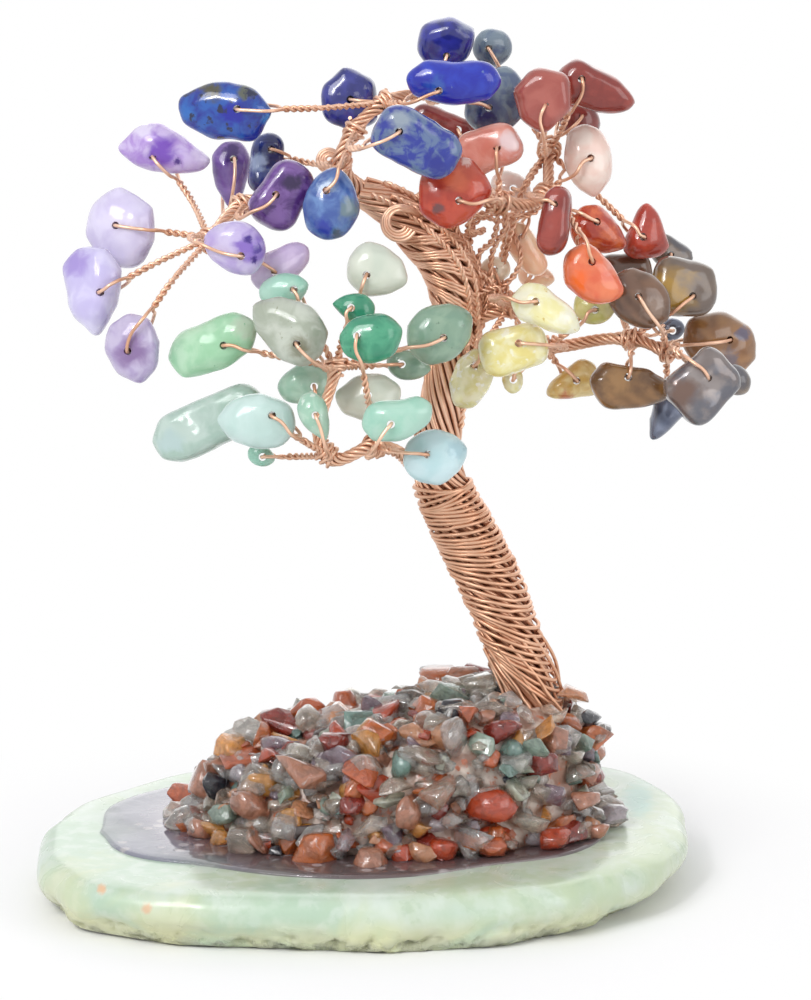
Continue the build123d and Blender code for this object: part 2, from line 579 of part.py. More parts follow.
def core_rings():
    """Corner rings of the heap's core, from the glue up."""
    rings = []
    for level, grow in core_profile_shares:
        ring = []
        for corner in range(core_sides):
            angle = math.tau * corner / core_sides
            x = core_lean * (1 - grow) + grow * core_length / 2 * math.cos(angle)
            y = grow * core_depth / 2 * math.sin(angle)
            ring.append(Vector(heap_offset + x, y, film_top + level * core_height))
        rings.append(ring)
    return rings


def core_planes():
    """The planes of the core's sides and top, facing outward."""
    rings = core_rings()
    planes = [(rings[-1][0], Vector(0, 0, 1))]
    for lower, upper in zip(rings, rings[1:]):
        for corner in range(core_sides):
            along = lower[(corner + 1) % core_sides] - lower[corner]
            planes.append((lower[corner], along.cross(upper[corner] - lower[corner]).normalized()))
    return planes


def seat_at(x, y, planes):
    """The seat of a chip above a place in plan: a point and the way its surface faces."""
    best = None
    for point, normal in planes:
        level = point.Z - (normal.X * (x - point.X) + normal.Y * (y - point.Y)) / normal.Z
        if best is None or level < best[0]:
            best = (level, normal)
    if best[0] < film_top:
        return Vector(x, y, film_top), Vector(0, 0, 1)
    return Vector(x, y, best[0]), best[1]


def chip_rings(seat, normal, size, pick):
    """Foot and top rings of one angular chip that stands on its seat."""
    level = Plane(origin=seat + normal * chip_seat, z_dir=normal)
    sides = pick.choice(chip_sides)
    spin = pick.random()
    shares = [pick.uniform(chip_side_share, 1) for _ in range(sides)]
    squash = pick.uniform(chip_width_share, 1)
    foot, top = pick.choice(chip_taper_shares)
    shift_x, shift_y = (pick.uniform(-chip_shift_share, chip_shift_share) * size for _ in range(2))
    rings = []
    for grow, height, shift in ((foot, 0, 0), (top, size * pick.uniform(*chip_height_shares), 1)):
        ring = []
        for corner, share in enumerate(shares):
            angle = math.tau * (corner + spin) / sides
            x = grow * share * size / 2 * math.cos(angle) + shift * shift_x
            y = grow * share * size / 2 * squash * math.sin(angle) + shift * shift_y
            ring.append(level.from_local_coords((x, y, height)))
        rings.append(ring)
    return rings


def side_normals(rings):
    foot, top = rings
    normals = [(foot[1] - foot[0]).cross(foot[2] - foot[1]).normalized()]
    for corner in range(len(foot)):
        along = foot[(corner + 1) % len(foot)] - foot[corner]
        normals.append(along.cross(top[corner] - foot[corner]).normalized())
    return [(normal.X, normal.Y, normal.Z) for normal in normals]


def apart(one, other):
    """Whether a plane parallel to a side of either chip has both chips clear of it."""
    (_, reach_a, corners_a, normals_a), (_, reach_b, corners_b, normals_b) = one, other
    if (one[0] - other[0]).length > reach_a + reach_b + chip_spacing:
        return True
    for nx, ny, nz in normals_a + normals_b:
        spans_a = [x * nx + y * ny + z * nz for x, y, z in corners_a]
        spans_b = [x * nx + y * ny + z * nz for x, y, z in corners_b]
        if max(min(spans_a) - max(spans_b), min(spans_b) - max(spans_a)) > chip_spacing:
            return True
    return False


def gravel():
    """Angular chips glued over the core and round its foot, the large ones first."""
    pick = random.Random(7)
    planes = core_planes()
    rest = trunk_bundle_clearings()
    chips = []
    for step in range(chip_tries):
        ease = max(0, 1 - chip_ease_share * step / chip_tries)
        size = chip_shortest + (chip_longest - chip_shortest) * ease * pick.random()
        angle, reach = math.tau * pick.random(), math.sqrt(pick.random())
        x = heap_offset + (core_length / 2 + chip_reach_share * chip_longest) * reach * math.cos(angle)
        y = (core_depth / 2 + chip_reach_share * chip_longest) * reach * math.sin(angle)
        seat, normal = seat_at(x, y, planes)
        rings = chip_rings(seat, normal, size, pick)
        corners = rings[0] + rings[1]
        middle = sum(corners, Vector(0, 0, 0)) / len(corners)
        reach = max((corner - middle).length for corner in corners)
        if any((middle - point).length < reach + clear for point, clear in rest):
            continue
        if any(c.Z < max(film_top, seat_at(c.X, c.Y, planes)[0].Z) for c in corners):
            continue
        chip = (middle, reach, [(c.X, c.Y, c.Z) for c in corners], side_normals(rings))
        if all(apart(chip, other[0]) for other in chips):
            chips.append((chip, rings))
    names = list(gravel_shares)
    weights = list(gravel_shares.values())
    groups = {name: [] for name in names}
    for _, rings in chips:
        groups[pick.choices(names, weights)[0]].append(skinned(rings))
    return groups


def trunk_bundle_clearings():
    """Places up the trunk's foot with the room that the gravel leaves free round each."""
    clearings = []
    for step in range(clearing_steps):
        middle, radius = trunk_at(foot_share * step / clearing_steps)
        clearings.append((middle, radius + wrap_lay + wire_diameter + seat_clearance))
    return clearings


def main():
    os.makedirs("parts", exist_ok=True)
    nodes = {"base_slab": [base_slab()], "glue_film": [glue_film()]}
    below = Pos(0, 0, film_top / 2) * Box(slab_length, slab_depth, film_top)
    trunk = (Part(trunk_bundle().wrapped) - below).solid()
    core = Part(skinned(core_rings()).wrapped) - Part(trunk_bundle(seat_clearance).wrapped)
    nodes["heap_core"] = [core.solid()]
    nodes.update(gravel())
    nodes["trunk_bundle"] = [trunk]
    for name in wrap_shares:
        nodes[name] = [wrap(name)]
    taken = Part(trunk.wrapped)
    for name, stops in rope_stop_shares.items():
        branch = max((Part(rope(stops).wrapped) - taken).solids(), key=lambda solid: solid.volume)
        nodes[name] = [branch]
        taken = taken + Part(branch.wrapped)
    hooks = [(Part(curl(*shares).wrapped) - taken).solids() for shares in curl_shares]
    nodes["curls"] = [max(pieces, key=lambda solid: solid.volume) for pieces in hooks]
    for row in stone_shares:
        nodes.setdefault(row[0], []).append(stone_solid(row))
    for name, forks in wire_groups.items():
        lines = [stone_wire_line(row) for row in stone_shares if row[6] in forks]
        nodes[name] = [tube(points, radii, wire_sides) for points, radii in lines]
    for name, solids in nodes.items():
        part = Compound(children=solids) if len(solids) > 1 else solids[0]
        export_step(part, os.path.join("parts", name + ".step"))
    print(len(nodes), "nodes,", sum(len(solids) for solids in nodes.values()), "solids")


if __name__ == "__main__":
    main()
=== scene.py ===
# %% [markdown]
# # A gemstone tree, dressed for its photograph
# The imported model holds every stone, wire and chip of the tree in its place, but with flat sides. This
# lesson gives each piece the surface of the real one: tumbled stones with drilled holes, twisted copper
# wire, a heap of glassy gravel in resin, and a polished slab. It starts by loading the model.

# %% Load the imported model
import math
import random

import bmesh
import bpy
from mathutils import Matrix, Vector, noise
from mathutils.bvhtree import BVHTree


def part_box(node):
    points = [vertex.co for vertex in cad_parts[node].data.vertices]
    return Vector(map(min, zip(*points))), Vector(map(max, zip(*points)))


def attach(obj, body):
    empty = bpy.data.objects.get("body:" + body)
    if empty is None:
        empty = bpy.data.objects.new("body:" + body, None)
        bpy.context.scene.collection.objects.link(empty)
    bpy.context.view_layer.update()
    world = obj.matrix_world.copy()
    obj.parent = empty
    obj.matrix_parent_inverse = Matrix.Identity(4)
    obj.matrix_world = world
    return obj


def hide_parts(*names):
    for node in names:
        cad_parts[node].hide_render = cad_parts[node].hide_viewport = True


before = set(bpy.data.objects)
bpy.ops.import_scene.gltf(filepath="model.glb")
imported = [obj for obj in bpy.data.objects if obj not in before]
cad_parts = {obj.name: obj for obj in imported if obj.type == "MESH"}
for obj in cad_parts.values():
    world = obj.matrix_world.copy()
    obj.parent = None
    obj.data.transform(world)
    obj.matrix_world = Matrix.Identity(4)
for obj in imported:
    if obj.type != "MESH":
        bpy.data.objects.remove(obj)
noise.seed_set(5)  # an unseeded noise vector differs from run to run
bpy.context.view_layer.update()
millimetre = 0.001
print("nodes", len(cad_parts))

# %% [markdown]
# The maker of this model laid the tree out on a board that leans back by 14 degrees, square to the
# camera. A place is given by three shares of the board's height: to the right, up, and towards the front.

# %% The board that places are shares of
board = 135 * millimetre
lean = math.radians(14)
slab_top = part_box("base_slab")[1].z
film_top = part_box("glue_film")[1].z


def place(right, up, front=0.0):
    """A point of the tree from its shares of the board."""
    upward = (up + front * math.sin(lean)) / math.cos(lean)
    return Vector((right * board, -front * board, slab_top + upward * board))


# %% [markdown]
# A long lens far away flattens the tree as in a catalogue photograph, so the camera stands 1.2 metres
# off and looks down by the board's lean.

# %% Camera
scene = bpy.context.scene
toward = Vector((0, -math.cos(lean), math.sin(lean)))
aim = Vector((5.5, 10.5, 50.3)) * millimetre
camera_distance = 1.2
camera = bpy.data.objects.new("camera", bpy.data.cameras.new("camera"))
camera.data.lens = 320
camera.data.sensor_width = 36
camera.data.clip_end = 10
camera.location = aim + toward * camera_distance
camera.rotation_euler = toward.to_track_quat("Z", "Y").to_euler()
scene.collection.objects.link(camera)
scene.camera = camera
scene.view_settings.view_transform = "Standard"

# %% [markdown]
# Shader maths reads best as plain Python. A small class stands for a node's output and turns Python's own
# signs into Math nodes, and another holds the nodes of one finish. Every other node comes from one
# method, which takes the node's type, its settings and what feeds its sockets.

# %% Shader maths as Python expressions


class Output:
    """A node's output, on which Python's signs add Math nodes."""

    def __init__(self, finish, link):
        self.finish = finish
        self.link = link

    def maths(self, operation, *values):
        return self.finish.node("ShaderNodeMath", {"operation": operation}, dict(enumerate(values)))

    def __add__(self, other):
        return self.maths("ADD", self, other)

    def __mul__(self, other):
        return self.maths("MULTIPLY", self, other)

    def __sub__(self, other):
        return self.maths("SUBTRACT", self, other)

    def __rsub__(self, other):
        return self.maths("SUBTRACT", other, self)

    __radd__ = __add__
    __rmul__ = __mul__


class Nodes:
    """A node tree, with short calls that add nodes and feed them."""

    def __init__(self, tree):
        self.tree = tree

    def node(self, kind, settings=None, sockets=None, output=0):
        """Adds a node. Its settings are made first, and then its sockets are fed."""
        made = self.tree.nodes.new(kind)
        for name, setting in (settings or {}).items():
            setattr(made, name, setting)
        for name, value in (sockets or {}).items():
            self.feed(made.inputs[name], value)
        return Output(self, made.outputs[output])

    def feed(self, socket, value):
        if isinstance(value, Output):
            self.tree.links.new(value.link, socket)
        else:
            socket.default_value = value


class Finish(Nodes):
    """The nodes of one finish. Patterns read Object coordinates, and their sizes are in millimetres."""

    def __init__(self, name):
        self.material = bpy.data.materials.new(name)
        self.material.use_nodes = True
        super().__init__(self.material.node_tree)
        self.surface = self.tree.nodes["Principled BSDF"]
        self.here = self.node("ShaderNodeTexCoord", output="Object")

    def cloud(self, size, detail=3, distortion=0.0):
        """Soft patches about as large as size, from 0 to 1."""
        scale = 1 / (size * millimetre)
        sockets = {"Vector": self.here, "Scale": scale, "Detail": detail, "Distortion": distortion}
        return self.node("ShaderNodeTexNoise", {}, sockets)

    def rise(self, value, begin, end):
        """0 where value is below begin, 1 above end, and smooth between."""
        sockets = {"Value": value, "From Min": begin, "From Max": end}
        return self.node("ShaderNodeMapRange", {"interpolation_type": "SMOOTHSTEP"}, sockets)

    def vector(self, operation, *values, output=0):
        return self.node("ShaderNodeVectorMath", {"operation": operation}, dict(enumerate(values)), output)

    def height(self):
        return self.node("ShaderNodeSeparateXYZ", {}, {"Vector": self.here}, "Z")

    def near(self, right, up, radius, front=None, wild=1.9):
        """1 round a place of the board, seen from the front or at a depth of its own, and 0 further off."""
        gap = self.vector("SUBTRACT", self.here, place(right, up, front or 0.0))
        if front is None:
            gap = self.vector("SUBTRACT", gap, self.vector("PROJECT", gap, toward))
        away = self.vector("LENGTH", gap, output="Value") * (1 / (radius * millimetre))
        ragged = away + wild * (self.cloud(1.1 * radius, detail=5, distortion=0.8) - 0.5)
        return 1 - self.rise(ragged, 0.35, 1.3)

    def blend(self, mask, first, second):
        """The first colour where the mask is 0, the second where it is 1."""
        return self.node("ShaderNodeMix", {"data_type": "RGBA"}, {0: mask, 6: first, 7: second}, output=2)

    def spotted(self, tone, spots, share=1.0, wild=1.9):
        """A tone with ragged spots: each a place on the board, at a depth or not, a radius and a colour."""
        for right, up, *front, radius, shade in spots:
            mask = self.near(right, up, radius, *front, wild=wild) * share
            tone = self.blend(mask, tone, colour(*shade))
        return tone

    def set(self, **sockets):
        """Sets or feeds the surface's own sockets, by their names with _ for a space."""
        for name, value in sockets.items():
            self.feed(self.surface.inputs[name.replace("_", " ")], value)
        return self

    def relief(self, height, depth):
        """A fine relief as deep as depth."""
        sockets = {"Height": height, "Distance": depth * millimetre, "Strength": 1.0}
        return self.node("ShaderNodeBump", {}, sockets)


def colour(red, green, blue):
    """A colour as a screen shows it, from 0 to 255, in the light units of shaders."""
    parts = [value / 255 for value in (red, green, blue)]
    return (*[part / 12.92 if part <= 0.04045 else ((part + 0.055) / 1.055) ** 2.4 for part in parts], 1)


# %% [markdown]
# A white cove: the floor catches a soft shadow near the slab and fades to pure white further out, and the
# world gives even light. Rays from the camera, and those that glass and metal send on, see plain white.

# %% Floor and world
white = colour(255, 255, 255)


def sees_white(nodes):
    """1 for rays from the camera and from glossy or clear surfaces, 0 for the rest."""
    rays = ("Is Camera Ray", "Is Glossy Ray", "Is Transmission Ray")
    seen = sum(nodes.node("ShaderNodeLightPath", output=ray) for ray in rays)
    return nodes.node("ShaderNodeMath", {"operation": "MINIMUM"}, {0: seen, 1: 1.0})


floor_finish = Finish("studio_floor")
far = floor_finish.rise(floor_finish.vector("LENGTH", floor_finish.here, output="Value"), 0.036, 0.08)
floor_finish.set(Base_Color=colour(246, 246, 248), Roughness=0.9, Specular_IOR_Level=0.1)
glow = floor_finish.node("ShaderNodeEmission", {}, {"Color": white, "Strength": 1.0})
lit = Output(floor_finish, floor_finish.surface.outputs[0])
shown = floor_finish.node("ShaderNodeMixShader", {}, {0: far * sees_white(floor_finish), 1: lit, 2: glow})
floor_finish.tree.links.new(shown.link, floor_finish.tree.nodes["Material Output"].inputs["Surface"])

shape = bmesh.new()
bmesh.ops.create_grid(shape, x_segments=1, y_segments=1, size=3)
floor_mesh = bpy.data.meshes.new("floor")
shape.to_mesh(floor_mesh)
shape.free()
floor_mesh.materials.append(floor_finish.material)
floor = bpy.data.objects.new("floor", floor_mesh)
scene.collection.objects.link(floor)

world = bpy.data.worlds.new("studio")
world.use_nodes = True
sky = Nodes(world.node_tree)
background = world.node_tree.nodes["Background"]
dim_sky = 0.62
sky.feed(background.inputs["Color"], white)
sky.feed(background.inputs["Strength"], dim_sky + (1 - dim_sky) * sees_white(sky))
scene.world = world

# %% [markdown]
# Soft boxes: a large key light high on the left gives the stones their broad highlights, a small one beside
# it makes the glassy chips sparkle, and lights from the right and behind open the shadows.

# %% Lamps


def softbox(name, position, power, width):
    """A square lamp that faces the middle of the tree."""
    lamp = bpy.data.objects.new(name, bpy.data.lights.new(name, "AREA"))
    lamp.data.energy = power
    lamp.data.size = width
    lamp.location = position
    lamp.rotation_euler = (Vector(position) - aim).to_track_quat("Z", "Y").to_euler()
    scene.collection.objects.link(lamp)


softbox("key", (-0.45, -0.6, 0.7), 4.0, 0.45)
softbox("spark", (-0.3, -0.65, 0.55), 1.1, 0.08)
softbox("fill", (0.7, -0.5, 0.3), 1.6, 0.5)
softbox("back", (0.2, 0.7, 0.45), 1.8, 0.9)

# %% [markdown]
# Pieces are made in a few steps that repeat: a bmesh becomes an object at the origin, gets its finish and
# rides on the tree, and the nodes of the model it stands for are hidden.

# %% From bmesh to piece


def keep(name, mesh, finishes, slot, *stands_for):
    """Puts a mesh in the scene as a piece of the tree."""
    for polygon in mesh.polygons:
        polygon.use_smooth = True
    for finish in finishes:
        mesh.materials.append(finish.material)
    piece = bpy.data.objects.new(name, mesh)
    scene.collection.objects.link(piece)
    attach(piece, "root")
    if stands_for:
        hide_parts(*stands_for)


def as_mesh(name, shape):
    mesh = bpy.data.meshes.new(name)
    shape.to_mesh(mesh)
    shape.free()
    return mesh


def modified(mesh, kind, **settings):
    """The mesh as one modifier leaves it."""
    holder = bpy.data.objects.new("bench", mesh)
    scene.collection.objects.link(holder)
    modifier = holder.modifiers.new("step", kind)
    for name, setting in settings.items():
        setattr(modifier, name, setting)
    made = bpy.data.meshes.new_from_object(holder.evaluated_get(bpy.context.evaluated_depsgraph_get()))
    bpy.data.objects.remove(holder)
    return made


def merged(node):
    """A copy of a node's mesh whose loose triangles are joined."""
    shape = bmesh.new()
    shape.from_mesh(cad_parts[node].data)
    bmesh.ops.remove_doubles(shape, verts=shape.verts, dist=millimetre / 100)
    shape.verts.ensure_lookup_table()
    return shape


def middle_of(corners):
    return sum((corner.co for corner in corners), Vector()) / len(corners)


def evened(mesh, voxel, rubs):
    """A mesh's shape in even small faces, rubbed down a number of times."""
    shape = bmesh.new()
    shape.from_mesh(modified(mesh, "REMESH", mode="VOXEL", voxel_size=voxel))
    every_way = {"use_axis_x": True, "use_axis_y": True, "use_axis_z": True}
    for _ in range(rubs):
        bmesh.ops.smooth_vert(shape, verts=shape.verts, factor=0.5, **every_way)
    shape.normal_update()
    return shape


def hull(points):
    """A shape with the hull of some points. Its faces are sorted, so that every run gives the same shape."""
    rough, shape = bmesh.new(), bmesh.new()
    for point in sorted(points, key=tuple):
        rough.verts.new(point)
    bmesh.ops.convex_hull(rough, input=rough.verts)
    rough.verts.index_update()
    places = {corner.index: shape.verts.new(corner.co) for corner in rough.verts if corner.link_faces}
    for indices in sorted(sorted(corner.index for corner in face.verts) for face in rough.faces):
        shape.faces.new([places[index] for index in indices])
    rough.free()
    bmesh.ops.recalc_face_normals(shape, faces=shape.faces)
    return shape


def solids(shape):
    """The separate solids of a shape, each as a list of its corners."""
    found, seen = [], set()
    for start in shape.verts:
        if start in seen:
            continue
        seen.add(start)
        group = [start]
        for corner in group:
            for edge in corner.link_edges:
                other = edge.other_vert(corner)
                if other not in seen:
                    seen.add(other)
                    group.append(other)
        found.append(group)
    return found


# %% [markdown]
# In the model each stone hangs on a square tube that opens into a loop through the drilled hole. The
# tube's corners come in rings of four, and the middle of each ring is a point of the wire's route. A ring
# at the end of a tube is the one square from which every step along the tube meets four new corners.

# %% Read the wires' routes
flat_angle = 0.01  # two triangles that meet at less than this share a square


def ring_levels(square):
    """The corners of a tube in the order of their distance from a square, in steps along edges."""
    levels, seen = [list(square)], set(square)
    while levels[-1]:
        further = []
        for corner in levels[-1]:
            for edge in corner.link_edges:
                other = edge.other_vert(corner)
                if other not in seen:
                    seen.add(other)
                    further.append(other)
        levels.append(further)
    return levels[:-1]


def tube_routes(node):
    """The middle line of each square tube in a node, from its wide end."""
    shape = merged(node)
    routes = []
    for corners in solids(shape):
        for edge in dict.fromkeys(edge for corner in corners for edge in corner.link_edges):
            square = dict.fromkeys(corner for face in edge.link_faces for corner in face.verts)
            if len(square) != 4 or edge.calc_face_angle(1.0) > flat_angle:
                continue
            levels = ring_levels(square)
            if any(len(level) != 4 for level in levels):
                continue
            line = [middle_of(level) for level in levels]
            if (levels[0][0].co - line[0]).length < (levels[-1][0].co - line[-1]).length:
                line.reverse()
            routes.append(line)
            break
    shape.free()
    print(node, len(routes), "wires")
    return sorted(routes, key=lambda line: tuple(line[0]) + tuple(line[-1]))


wire_nodes = [name for name in sorted(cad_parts) if name.endswith("_wires")]
routes = {name: tube_routes(name) for name in wire_nodes}
loop_points = 5  # the last points of a route go round the stone
holes = [(line[-4], line[-3]) for name in wire_nodes for line in routes[name]]

# %% [markdown]
# Copper craft wire is soft, pale and a little dull: the highlights along it are wide. Its colour drifts
# towards brown where hands have bent it, and low on the trunk, which faces down, painted shade darkens it.

# %% Copper
copper = Finish("copper_wire")
handled = copper.cloud(5, detail=4)
fine = copper.cloud(0.5, detail=2)
copper_tone = copper.blend(copper.rise(handled, 0.35, 0.68), colour(240, 200, 174), colour(214, 164, 134))
# Painted shade: the lower trunk faces down, so its copper is darkened towards brown there.
shade_low_on_trunk = 1 - copper.rise(copper.height(), 50 * millimetre, 68 * millimetre)
copper_tone = copper.blend(shade_low_on_trunk * 0.6, copper_tone, colour(212, 162, 130))
copper.set(
    Base_Color=copper_tone,
    Metallic=0.75,
    Roughness=0.3 + 0.14 * fine,
    Normal=copper.relief(fine, 0.01),
)

# %% [markdown]
# A wire is a curve with a round bevel. Blender can lead a smooth Bezier line through a few places by
# itself, so `route` asks it for the points of such a line. `strand` winds one wire round it.

# %% Wires from lines


def mesh_of(curve):
    holder = bpy.data.objects.new(curve.name, curve)
    mesh = bpy.data.meshes.new_from_object(holder)
    bpy.data.objects.remove(holder)
    return mesh


def route(places, per_run):
    """Points of a smooth line through some places, so many to each run between two."""
    curve = bpy.data.curves.new("route", "CURVE")
    curve.dimensions = "3D"
    curve.resolution_u = per_run
    spline = curve.splines.new("BEZIER")
    spline.bezier_points.add(len(places) - 1)
    for point, position in zip(spline.bezier_points, places):
        point.co = position
        point.handle_left_type = point.handle_right_type = "AUTO"
    return [corner.co.copy() for corner in mesh_of(curve).vertices]


def framed(line, side):
    """Each point of a line with two sides square to it, which turn as little as may be on the way."""
    last = len(line) - 1
    frames = []
    for index, point in enumerate(line):
        heading = (line[min(index + 1, last)] - line[max(index - 1, 0)]).normalized()
        side = (side - heading * side.dot(heading)).normalized()
        frames.append((point, side, heading.cross(side)))
    return frames


def turned(side, across, angle):
    """A direction at an angle from side towards across."""
    return side * math.cos(angle) + across * math.sin(angle)


def strand(frames, reach, pitch, phase):
    """A line wound round another, at a reach that may differ at each point."""
    angle, wound = phase, []
    before = frames[0][0]
    for index, (point, side, across) in enumerate(frames):
        angle += math.tau * (point - before).length / pitch
        out = reach[index] if isinstance(reach, list) else reach
        wound.append(point + turned(side, across, angle) * out)
        before = point
    return wound


def tubes(name, lines, thickness, rounding, scales=None):
    """A mesh of round tubes along lines. The thickness may be scaled at each point."""
    curve = bpy.data.curves.new(name, "CURVE")
    curve.dimensions = "3D"
    curve.bevel_depth = thickness / 2
    curve.bevel_resolution = rounding
    curve.use_fill_caps = True
    for line in lines:
        spline = curve.splines.new("POLY")
        spline.points.add(len(line) - 1)
        for index, point in enumerate(spline.points):
            point.co = (*line[index], 1)
            point.radius = scales[index] if scales else 1
    return mesh_of(curve)


def wires(name, lines, thickness, *stands_for):
    """Round copper wires along lines, as one piece."""
    mesh = tubes(name, lines, thickness, 2)
    keep(name, mesh, [copper], "copper_wire", *stands_for)
    print(name, len(lines), "wires,", len(mesh.polygons), "faces")


# %% [markdown]
# Each stone hangs on one wire bent double and twisted: the wire runs out along the stem, through the
# hole, and back along the stem, so its two halves wind round each other.

# %% Stems and loops
wire_thickness = 0.5 * millimetre
pair_reach = 0.26 * millimetre
pair_pitch = 2.0 * millimetre
stem_wire = 0.48 * millimetre
half_turns = (0.0, math.pi)
pick_bend = random.Random(3)


def stem(line):
    """One stone's wire: a twisted pair to the rim and an open loop through the hole."""
    stem_places, loop = line[:-loop_points], line[-loop_points:]
    inward = (stem_places[0] - stem_places[1]).normalized() * 1.3 * millimetre
    middle = route([stem_places[0] + inward] + stem_places, 16)
    middle.reverse()
    frames = framed(middle, loop[0] - loop[3])
    pair = [strand(frames, pair_reach, pair_pitch, phase) for phase in half_turns]
    front_mouth, back_mouth = loop[1], loop[2]
    through = (front_mouth - back_mouth).normalized()
    lift = through * pick_bend.uniform(0.25, 0.6) * millimetre
    swing = through.cross(front_mouth - loop[0]).normalized() * pick_bend.uniform(-0.5, 0.5) * millimetre
    inside = [front_mouth.lerp(back_mouth, share) for share in (0.3, 0.7)]
    bend = [pair[0][3], pair[0][0], loop[0] + lift * 0.4, loop[0].lerp(front_mouth, 0.55) + lift + swing]
    bend += [front_mouth + lift * 0.3, *inside, back_mouth, loop[3], pair[1][0], pair[1][3]]
    around = route(bend, 6)[6:-6]
    return pair[0][:0:-1] + around + pair[1][1:]


for name in wire_nodes:
    wires(name.replace("wires", "stems"), [stem(line) for line in routes[name]], stem_wire, name)

# %% [markdown]
# The trunk is the bundle of all the branch wires. Its strands lie side by side round a smooth line and
# turn slowly as they climb. A solid line inside it stands for the strands that can't be seen.

# %% Trunk line
trunk_radius = 3.9 * millimetre
trunk_places = [  # right, up, and a share of the radius
    (0.176, -0.008, 0.8), (0.172, 0.046, 0.8), (0.168, 0.09, 0.8), (0.163, 0.133, 0.84),
    (0.143, 0.193, 0.94), (0.119, 0.253, 1.0), (0.094, 0.303, 0.96), (0.076, 0.343, 0.88),
    (0.072, 0.383, 0.8), (0.077, 0.423, 0.76), (0.087, 0.473, 0.76), (0.091, 0.513, 0.82),
    (0.083, 0.553, 0.88), (0.06, 0.583, 0.86), (0.03, 0.608, 0.72), (-0.006, 0.627, 0.52),
]
trunk_line = route([place(right, up) for right, up, _ in trunk_places], 40)
trunk_frames = framed(trunk_line, Vector((1, 0, 0)))


def trunk_reach(share):
    """The trunk's radius at a share of its length."""
    step = min(share, 0.9999) * (len(trunk_places) - 1)
    low = int(step)
    begin, end = trunk_places[low][2], trunk_places[low + 1][2]
    return trunk_radius * (begin + (end - begin) * (step - low))


def trunk_frame(share):
    return trunk_frames[round(share * (len(trunk_frames) - 1))]


def climb(begin, end, phase, turn, steps):
    """Steps up the trunk between two shares of its length, through a number of turns round it."""
    for step in range(steps + 1):
        done = step / steps
        share = begin + (end - begin) * step / steps
        point, side, across = trunk_frame(share)
        out = turned(side, across, math.tau * (phase + turn * done))
        yield done, point, out, side.cross(across), trunk_reach(share)


# %% Trunk strands
bundle_count, inner_count = 24, 5
bundle_pitch = -34 * millimetre
foot_frame, frame_step = 18, 4
bundle = trunk_frames[foot_frame::frame_step]
bundle_shares = [(foot_frame + frame_step * index) / (len(trunk_frames) - 1) for index in range(len(bundle))]
bundle_lines = []
for count in range(bundle_count):
    reach = []
    for share in bundle_shares:
        swell = noise.noise(Vector((share * 7, count * 3.7, 0.5))) * 0.45 * millimetre
        reach.append(trunk_reach(share) - 0.4 * millimetre + swell)
    phase = math.tau * (count + 0.3 * (count % 3)) / bundle_count
    bundle_lines.append(strand(bundle, reach, bundle_pitch, phase))
inner = [trunk_reach(share) * 0.5 for share in bundle_shares]
for count in range(inner_count):
    bundle_lines.append(strand(bundle, inner, bundle_pitch, math.tau * count / inner_count))
wires("trunk_strands", bundle_lines, 0.64 * millimetre, "trunk_bundle")

# %% [markdown]
# Where the branches leave, doubled wires lie on the outside of the bundle. Some follow its right edge up,
# and some cross it in steep turns on their way round the neck.

# %% Doubled wires on the upper trunk


def along_trunk(begin, end, phase, turn, lift):
    """A line on the trunk between two shares of its length that goes through part of a turn."""
    return [point + out * (reach + lift) for _, point, out, _, reach in climb(begin, end, phase, turn, 60)]


def doubled(line, pitch):
    """Two wires twisted round a line."""
    frames = framed(line, Vector((0, 1, 0.1)))
    return [strand(frames, pair_reach, pitch, phase) for phase in half_turns]


edge_rows = [(0.6, 0.97, 0.03, -0.06), (0.56, 0.95, -0.06, -0.08), (0.63, 0.98, -0.15, -0.05)]
crossing_rows = [(0.66, 0.78), (0.69, 0.81), (0.72, 0.84), (0.75, 0.87), (0.78, 0.9), (0.81, 0.93)]
wire_gap = 0.0065  # a share of the trunk's length
neck_lines = []
for row in edge_rows:
    neck_lines += doubled(along_trunk(*row, 0.2 * millimetre), pair_pitch)
for count, (begin, end) in enumerate(crossing_rows):
    for beside in range(3):
        shift = wire_gap * beside
        line = along_trunk(begin + shift, end + shift, 0.02 * (count % 2), -0.62, 0.08 * millimetre)
        neck_lines.append(line)
wires("neck_wires", neck_lines, wire_thickness)

# %% The heart of the bundle
heart_shares = [index / 40 for index in range(1, 40)]
heart_line = [trunk_frame(share)[0] for share in heart_shares]
heart_scales = [trunk_reach(share) - 0.75 * millimetre for share in heart_shares]
# The heart is copper painted darker: painted shade seen between the strands of the bundle.
heart = Finish("shaded_copper").set(Base_Color=colour(150, 92, 64), Metallic=0.6, Roughness=0.5)
heart_mesh = tubes("trunk_heart", [heart_line], 2.0, 4, heart_scales)
keep("trunk_heart.001", heart_mesh, [heart], "copper_wire", "trunk_bundle")

# %% [markdown]
# Two more wires are wound round the trunk, turn against turn. Hands tire and slip: the turns lie level at
# the top and slope more and more towards the root, and some cross their neighbours or stand off.

# %% Windings
wrap_step = 26  # points in each turn


def winding(begin, end, turns, seed, slopes):
    """One wire wound round the trunk. Each turn slopes along the trunk by a share of its radius."""
    line = []
    for done, point, out, heading, reach in climb(begin, end, 0, turns, turns * wrap_step):
        turn = turns * done
        wander = noise.noise(Vector((turn * 0.5, seed, 0.3)))
        slip = noise.noise(Vector((turn * 0.23, seed, 7.1)))
        slope = slopes[0] + (slopes[1] - slopes[0]) * done + 0.5 * slip
        stand = 0.2 + 0.3 * abs(wander) + 0.12 * noise.noise(Vector((turn * 2.1, seed, 4.2)))
        stand += 0.9 * max(0, wander - 0.28) * max(0, -out.x)
        along = out.x * trunk_radius * slope + wander * 0.5 * millimetre
        line.append(point + out * (reach + stand * millimetre) + heading * along)
    return line


